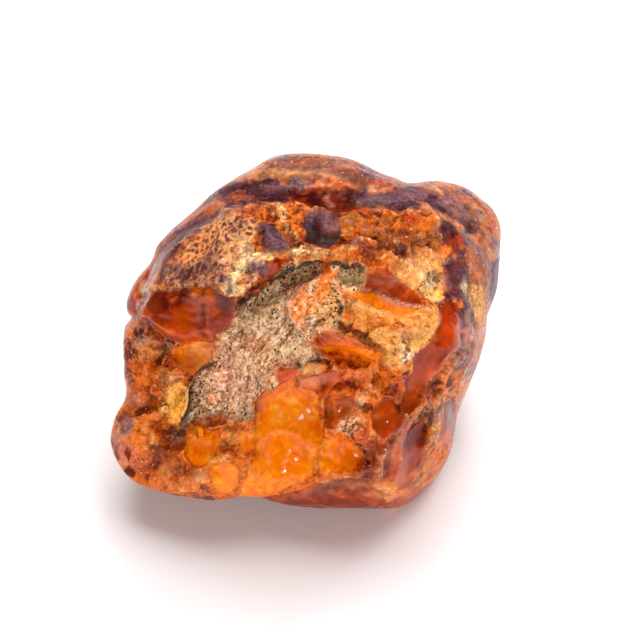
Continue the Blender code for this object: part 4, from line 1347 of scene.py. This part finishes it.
# %% Spots on the hood
# Dark spots parted by a thin bright web: the distance to the wall between two cells is small on the web.
spotted = cover("spotted", 0.8, 0.3)
SPOT = 0.85
spot_tone = total(times(to_wall(SPOT, wobbled(0.7, 0.3)), 1.5), times(small, 1.2), times(coarse, -0.7), 0.10)
spot_paint = shades(
    spot_tone,
    (0.00, 244, 190, 126), (0.12, 246, 178, 104), (0.24, 228, 154, 98), (0.36, 172, 106, 84), (0.52, 130, 80, 76),
    (0.75, 94, 52, 56),
)
surface = over(surface, spotted, spot_paint, 0.40)
told("spotted hood")

# %% [markdown]
# ## Glass
#
# Where a flake has come off, the inside shows: dark red where the lump is thick behind it, orange where it is thin.
# These places let light in. They are smooth, so they carry the highlights.

# %% Glow round the windows
HALO_WIDTH, HALO_STRENGTH = 1.5, 0.65
halo = band(total(laid("clear"), times(coarse, EDGE_SHIFT)), -HALO_WIDTH, 0.1, 0.0, HALO_STRENGTH)
halo_paint = mixed(band(fleck, 0.4, 0.6), paint(206, 82, 10), paint(244, 136, 34))
surface = mixed(halo, surface[0], halo_paint), surface[1]
told("glow")

# %% Red glass
GLASS_ROUGHNESS = 0.10
red = cover("red", 0.45, 0.14)
red_tone = total(times(grain(2.2, 3, 0.5, 0.6), 0.8), times(small, 0.3))
red_paint = shades(
    red_tone,
    (0.24, 128, 40, 12), (0.36, 178, 66, 22), (0.50, 216, 96, 34), (0.62, 244, 134, 46),
)
surface = over(surface, red, red_paint, GLASS_ROUGHNESS)
told("red glass")

# %% Clear orange
clear = cover("clear", 0.5, 0.2)
streaks = grain(1.4, 5, 0.6, 1.6)
clear_paint = shades(
    streaks,
    (0.30, 240, 108, 4), (0.43, 254, 132, 6), (0.55, 255, 152, 8), (0.66, 255, 184, 40),
)
surface = over(surface, clear, clear_paint, GLASS_ROUGHNESS)
glass = most(red, clear)
told("clear orange")

# %% [markdown]
# ## Crust
#
# Rust-coloured crust, pale tan rims and the sand of the valley are dull and let no light through, so they go on
# last. Sand is made of grains: each cell of a fine cellular noise gets its own shade, with some near black.

# %% Rust
# It runs in streaks across the slope, so its noise is drawn out that way.
rust = times(cover("rust", 1.0, 0.3), band(total(grain(1.1, 4, 0.6), times(edge, 1.2)), 0.38, 0.48))
flow = grain(0.8, 4, 0.6, 0.8, vector=drawn_out(-22, 3.5))
rust_paint = shades(
    total(times(flow, 0.7), times(fleck, 0.3)),
    (0.36, 214, 122, 48), (0.44, 244, 160, 66), (0.51, 250, 188, 100), (0.58, 250, 194, 118), (0.66, 254, 222, 164),
)
surface = over(surface, rust, rust_paint, 0.32)
told("rust")

# %% Pale tan rims
# The pale lines also paint a highlight along the scoop's lip.
pale = most(cover("tan", 1.0, 0.3), cover("pale", 0.5, 0.2))
pale = times(pale, band(grain(0.8, 5, 0.7), 0.40, 0.52))
pale_paint = shades(
    grain(0.5, 5, 0.7),
    (0.34, 160, 86, 44), (0.43, 212, 134, 72), (0.52, 240, 178, 112), (0.64, 252, 226, 178),
)
surface = over(surface, pale, pale_paint, 0.5)
told("pale rims")

# %% Sand
sand = cover("sand", 1.1, 0.4)
SAND_GRAIN = 0.24
grains = cells(SAND_GRAIN, wobbled(0.4, 0.08))
fibres = grain(0.9, 6, 0.7, 0.6, vector=drawn_out(58, 2.6))
sand_tone = total(times(shade_of(grains), 0.30), times(fibres, 1.7), times(grain(0.28, 3, 0.7), 0.9), -0.93)
sand_paint = shades(
    sand_tone,
    (0.20, 104, 72, 52), (0.36, 176, 126, 90), (0.50, 220, 168, 122), (0.64, 240, 204, 158), (0.80, 254, 242, 216),
)
colour, roughness = over(surface, sand, sand_paint, 0.75)
told("sand")

# %% Stains and painted highlights over everything
# The oval's own colour, made lighter and darker by the same fine noises, so that it never looks like flat paint.
speckle = total(times(fleck, 2.6), times(shade_of(chip), 0.3), -0.45)
speckle = between(glass, speckle, band(streaks, 0.25, 0.75, 0.8, 1.2))
speckle = between(sand, speckle, total(times(sand_tone, 1.8), 0.1))
stain_and_highlight_share = times(laid("stain_and_highlight", "Alpha"), between(sand, band(total(coarse, small), -0.35, 0.15, 0.6, 1.0), 0.85))
colour = mixed(stain_and_highlight_share, colour, scaled(laid("stain_and_highlight", "Color"), speckle))
told("stains and highlights")

# %% Painted glints on the chips
# Painted glints: a few tiny cells are painted almost white, standing in for small facets that catch the light.
GLINT_CELL = 0.34
flake = cells(GLINT_CELL, wobbled(0.5, 0.2))
glint_share = times(maths("GREATER_THAN", shade_of(flake, 1), 0.90), band(flake.outputs["Distance"], 0.42, 0.30))
glint_share = times(glint_share, less(glass), less(sand), less(plum), band(coarse, -0.12, 0.10))
colour = mixed(times(glint_share, 0.65), colour, paint(255, 214, 170))
told("painted glints")

# %% Dark gaps between the chips
GAP_CELL = 0.9
gap = times(
    band(to_wall(GAP_CELL, wobbled(0.8, 0.5)), 0.0, 0.07, 1.0, 0.0), less(glass), less(sand),
    band(small, -0.06, 0.06),
)
colour = mixed(times(gap, 0.45), colour, paint(92, 32, 18))
told("gaps")

# %% Dark lines of cracks and painted shade, black grit and painted glints
GRIT = 0.30
# The dark lines are real cracks and painted shade in crevices and under the hood's edge.
crack_and_shade = cover("dark", 0.5, 0.12)
grit = cells(GRIT, wobbled(0.3, 0.15))
grit_share = total(times(band(laid("dark"), -1.6, 0.0), 0.50), 0.045)
gritty = times(
    maths("LESS_THAN", shade_of(grit, 1), grit_share), maths("LESS_THAN", grit.outputs["Distance"], 0.42), sand,
)
# Painted glints: a few sand grains are painted near white, as sparkle.
sparkle = times(maths("GREATER_THAN", shade_of(grains, 2), 0.92), sand)
colour = mixed(times(sparkle, 0.6), colour, paint(255, 240, 216))
colour = mixed(times(crack_and_shade, 0.8), colour, paint(38, 20, 12))
colour = mixed(gritty, colour, paint(26, 20, 16))
told("cracks and grit")

# %% Painted shade in the hollows
# Painted shade and light: the colour is darker in hollows and lighter on edges, and the clear windows are
# painted brighter as a painted glow. Wet-looking resin is deeper in colour than dry paint.
PAINTED_HOLLOW_SHADE, PAINTED_EDGE_LIGHT, PAINTED_WINDOW_GLOW, DEEPENING = 0.78, 1.14, 1.12, 1.12
colour = scaled(colour, between(clear, band(edge, -0.12, 0.10, PAINTED_HOLLOW_SHADE, PAINTED_EDGE_LIGHT), PAINTED_WINDOW_GLOW))
colour = node("ShaderNodeGamma", {"Color": colour, "Gamma": DEEPENING}).outputs[0]
told("painted shade and glow")

# %% Relief of the finishes
chip_height = total(facets(CHIP, 0.34, wobbly), facets(0.45, 0.26, wobbly), times(fleck, 0.07))
rind_height = total(times(grain(0.6, 4, 0.6), 0.10), facets(0.5, 0.10, wobbly))
streak_height = total(times(flow, 0.14), times(fleck, 0.04), facets(0.45, 0.12, wobbly))
sand_height = total(times(grain(0.5, 5, 0.75), 0.14), times(grains.outputs["Distance"], 0.05))
glass_height = times(grain(1.0, 3, 0.5, 0.8), 0.06)
height = between(most(rind, spotted), chip_height, rind_height)
height = between(most(glass, times(plum, 0.7)), height, glass_height)
height = between(most(rust, pale), height, streak_height)
height = between(sand, height, sand_height)
bump = node("ShaderNodeBump", {"Height": height, "Distance": MM, "Strength": 1.0})
told("relief")

# %% The shader's own sockets
# The share of light let through: a little everywhere but in the dull finishes, more in glass.
SEE_THROUGH, NO_RIND_SHARE, GLASS_SHARE = 0.05, 0.04, 0.14
dull = most(pale, sand, rust, crack_and_shade)
see_through = times(less(dull), total(times(glass, GLASS_SHARE), times(less(rind), NO_RIND_SHARE), SEE_THROUGH))
for name, value in {
    "Base Color": colour, "Roughness": roughness, "Normal": bump.outputs[0], "Transmission Weight": see_through,
}.items():
    tree.links.new(value, shader.inputs[name])
for name, value in {"IOR": 1.54, "Specular IOR Level": 0.25, "Metallic": 0.0}.items():
    shader.inputs[name].default_value = value
absorb = tree.nodes.new("ShaderNodeVolumeAbsorption")
absorb.inputs["Color"].default_value = (1.0, 0.50, 0.02, 1.0)
absorb.inputs["Density"].default_value = 200.0
tree.links.new(absorb.outputs[0], tree.nodes["Material Output"].inputs["Volume"])
lump_mesh.materials.append(amber)
print("amber material:", len(tree.nodes), "nodes")

# %% [markdown]
# ## Floor, light and camera
#
# A raw lump is best shown plainly, on a white floor. A broad soft light from behind and above throws a soft shadow
# forwards. Two low lights in front reach the leaning show face and hardly touch the floor, so the face is bright
# and the shadow stays. Glossy resin would mirror such wide lights as a grey haze and hide its own colour, so they
# light it without being mirrored, and two small lamps give it its sheen and its sparks instead.

# %% Floor
FLOOR_HALF = 0.4
floor_mesh = bpy.data.meshes.new("floor")
corners = [(x, y, 0) for x, y in ((-1, -1), (1, -1), (1, 1), (-1, 1))]
floor_mesh.from_pydata((np.array(corners) * FLOOR_HALF).tolist(), [], [(0, 1, 2, 3)])
floor = added("floor", floor_mesh)
floor.location.z = float(CAD_LOW[2])
floor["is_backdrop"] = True
card = bpy.data.materials.new("white card")
card.use_nodes = True
card_shader = card.node_tree.nodes["Principled BSDF"]
card_shader.inputs["Base Color"].default_value = (0.92, 0.92, 0.93, 1.0)
card_shader.inputs["Roughness"].default_value = 0.9
floor_mesh.materials.append(card)
print("floor, mm:", round(2 * FLOOR_HALF / MM), "square")

# %% Surround
# It lights the lump faintly, and the camera sees a paler one behind the floor.
scene = bpy.context.scene
world = bpy.data.worlds.new("white surround")
world.use_nodes = True
surround = world.node_tree.nodes["Background"]
surround.inputs["Color"].default_value = (1.0, 0.68, 0.65, 1.0)
surround.inputs["Strength"].default_value = 0.24
backdrop = world.node_tree.nodes.new("ShaderNodeBackground")
backdrop.inputs["Color"].default_value = (0.90, 0.89, 0.90, 1.0)
seen = world.node_tree.nodes.new("ShaderNodeLightPath")
either = world.node_tree.nodes.new("ShaderNodeMixShader")
for source, target in (
    (seen.outputs["Is Camera Ray"], either.inputs[0]), (surround.outputs[0], either.inputs[1]),
    (backdrop.outputs[0], either.inputs[2]), (either.outputs[0], world.node_tree.nodes["World Output"].inputs[0]),
):
    world.node_tree.links.new(source, target)
scene.world = world
world.cycles_visibility.glossy = False
print("surround:", len(world.node_tree.nodes), "nodes")

# %% Lamps
# Name, place and size in metres, power in watts, and whether the resin mirrors it.
LAMPS = (
    ("back light", (0.05, 0.18, 0.29), 0.40, 2.3, False),
    ("sheen lamp", (0.05, 0.18, 0.29), 0.06, 0.12, True),
    ("left fill", (-0.26, -0.34, 0.09), 0.14, 0.50, False),
    ("right fill", (0.26, -0.34, 0.09), 0.14, 0.50, False),
    ("spark lamp", (-0.09, -0.30, 0.18), 0.014, 0.20, True),
)
LUMP_MIDDLE = Vector((0.0, 0.0, 0.016))


def turned_along(direction):
    """The turn that makes a lamp or camera look along direction."""
    return direction.to_track_quat("-Z", "Y").to_euler()


for name, spot, size, power, mirrored in LAMPS:
    light = bpy.data.lights.new(name, "AREA")
    light.shape = "SQUARE"
    light.size = size
    light.energy = power
    lamp = added(name, light)
    lamp.location = spot
    lamp.rotation_euler = turned_along(LUMP_MIDDLE - Vector(spot))
    lamp.visible_glossy = mirrored
print("lamps:", ", ".join(name for name, *_ in LAMPS))

# %% Camera
LENS = 58.5
PICTURE = 640
face_origin = CAD_LOW + (np.array([0.0, 0.0, FACE_HEIGHT]) - low) * fit
camera_data = bpy.data.cameras.new("camera")
camera_data.lens = LENS
camera_data.clip_start = 0.005
camera_data.shift_x = (PICTURE / 2 - MIDDLE_PIXEL[0]) / PICTURE
camera_data.shift_y = (MIDDLE_PIXEL[1] - PICTURE / 2) / PICTURE
camera = added("camera", camera_data)
out = Vector((0.0, -math.cos(FACE_LEAN), math.sin(FACE_LEAN)))
camera.location = Vector(face_origin) + out * TAPER_LENGTH * MM
camera.rotation_euler = turned_along(-out)
scene.camera = camera
print("camera, mm:", np.round(np.array(camera.location) / MM, 1))
scene.view_settings.view_transform = "Standard"
scene.view_settings.look = "None"
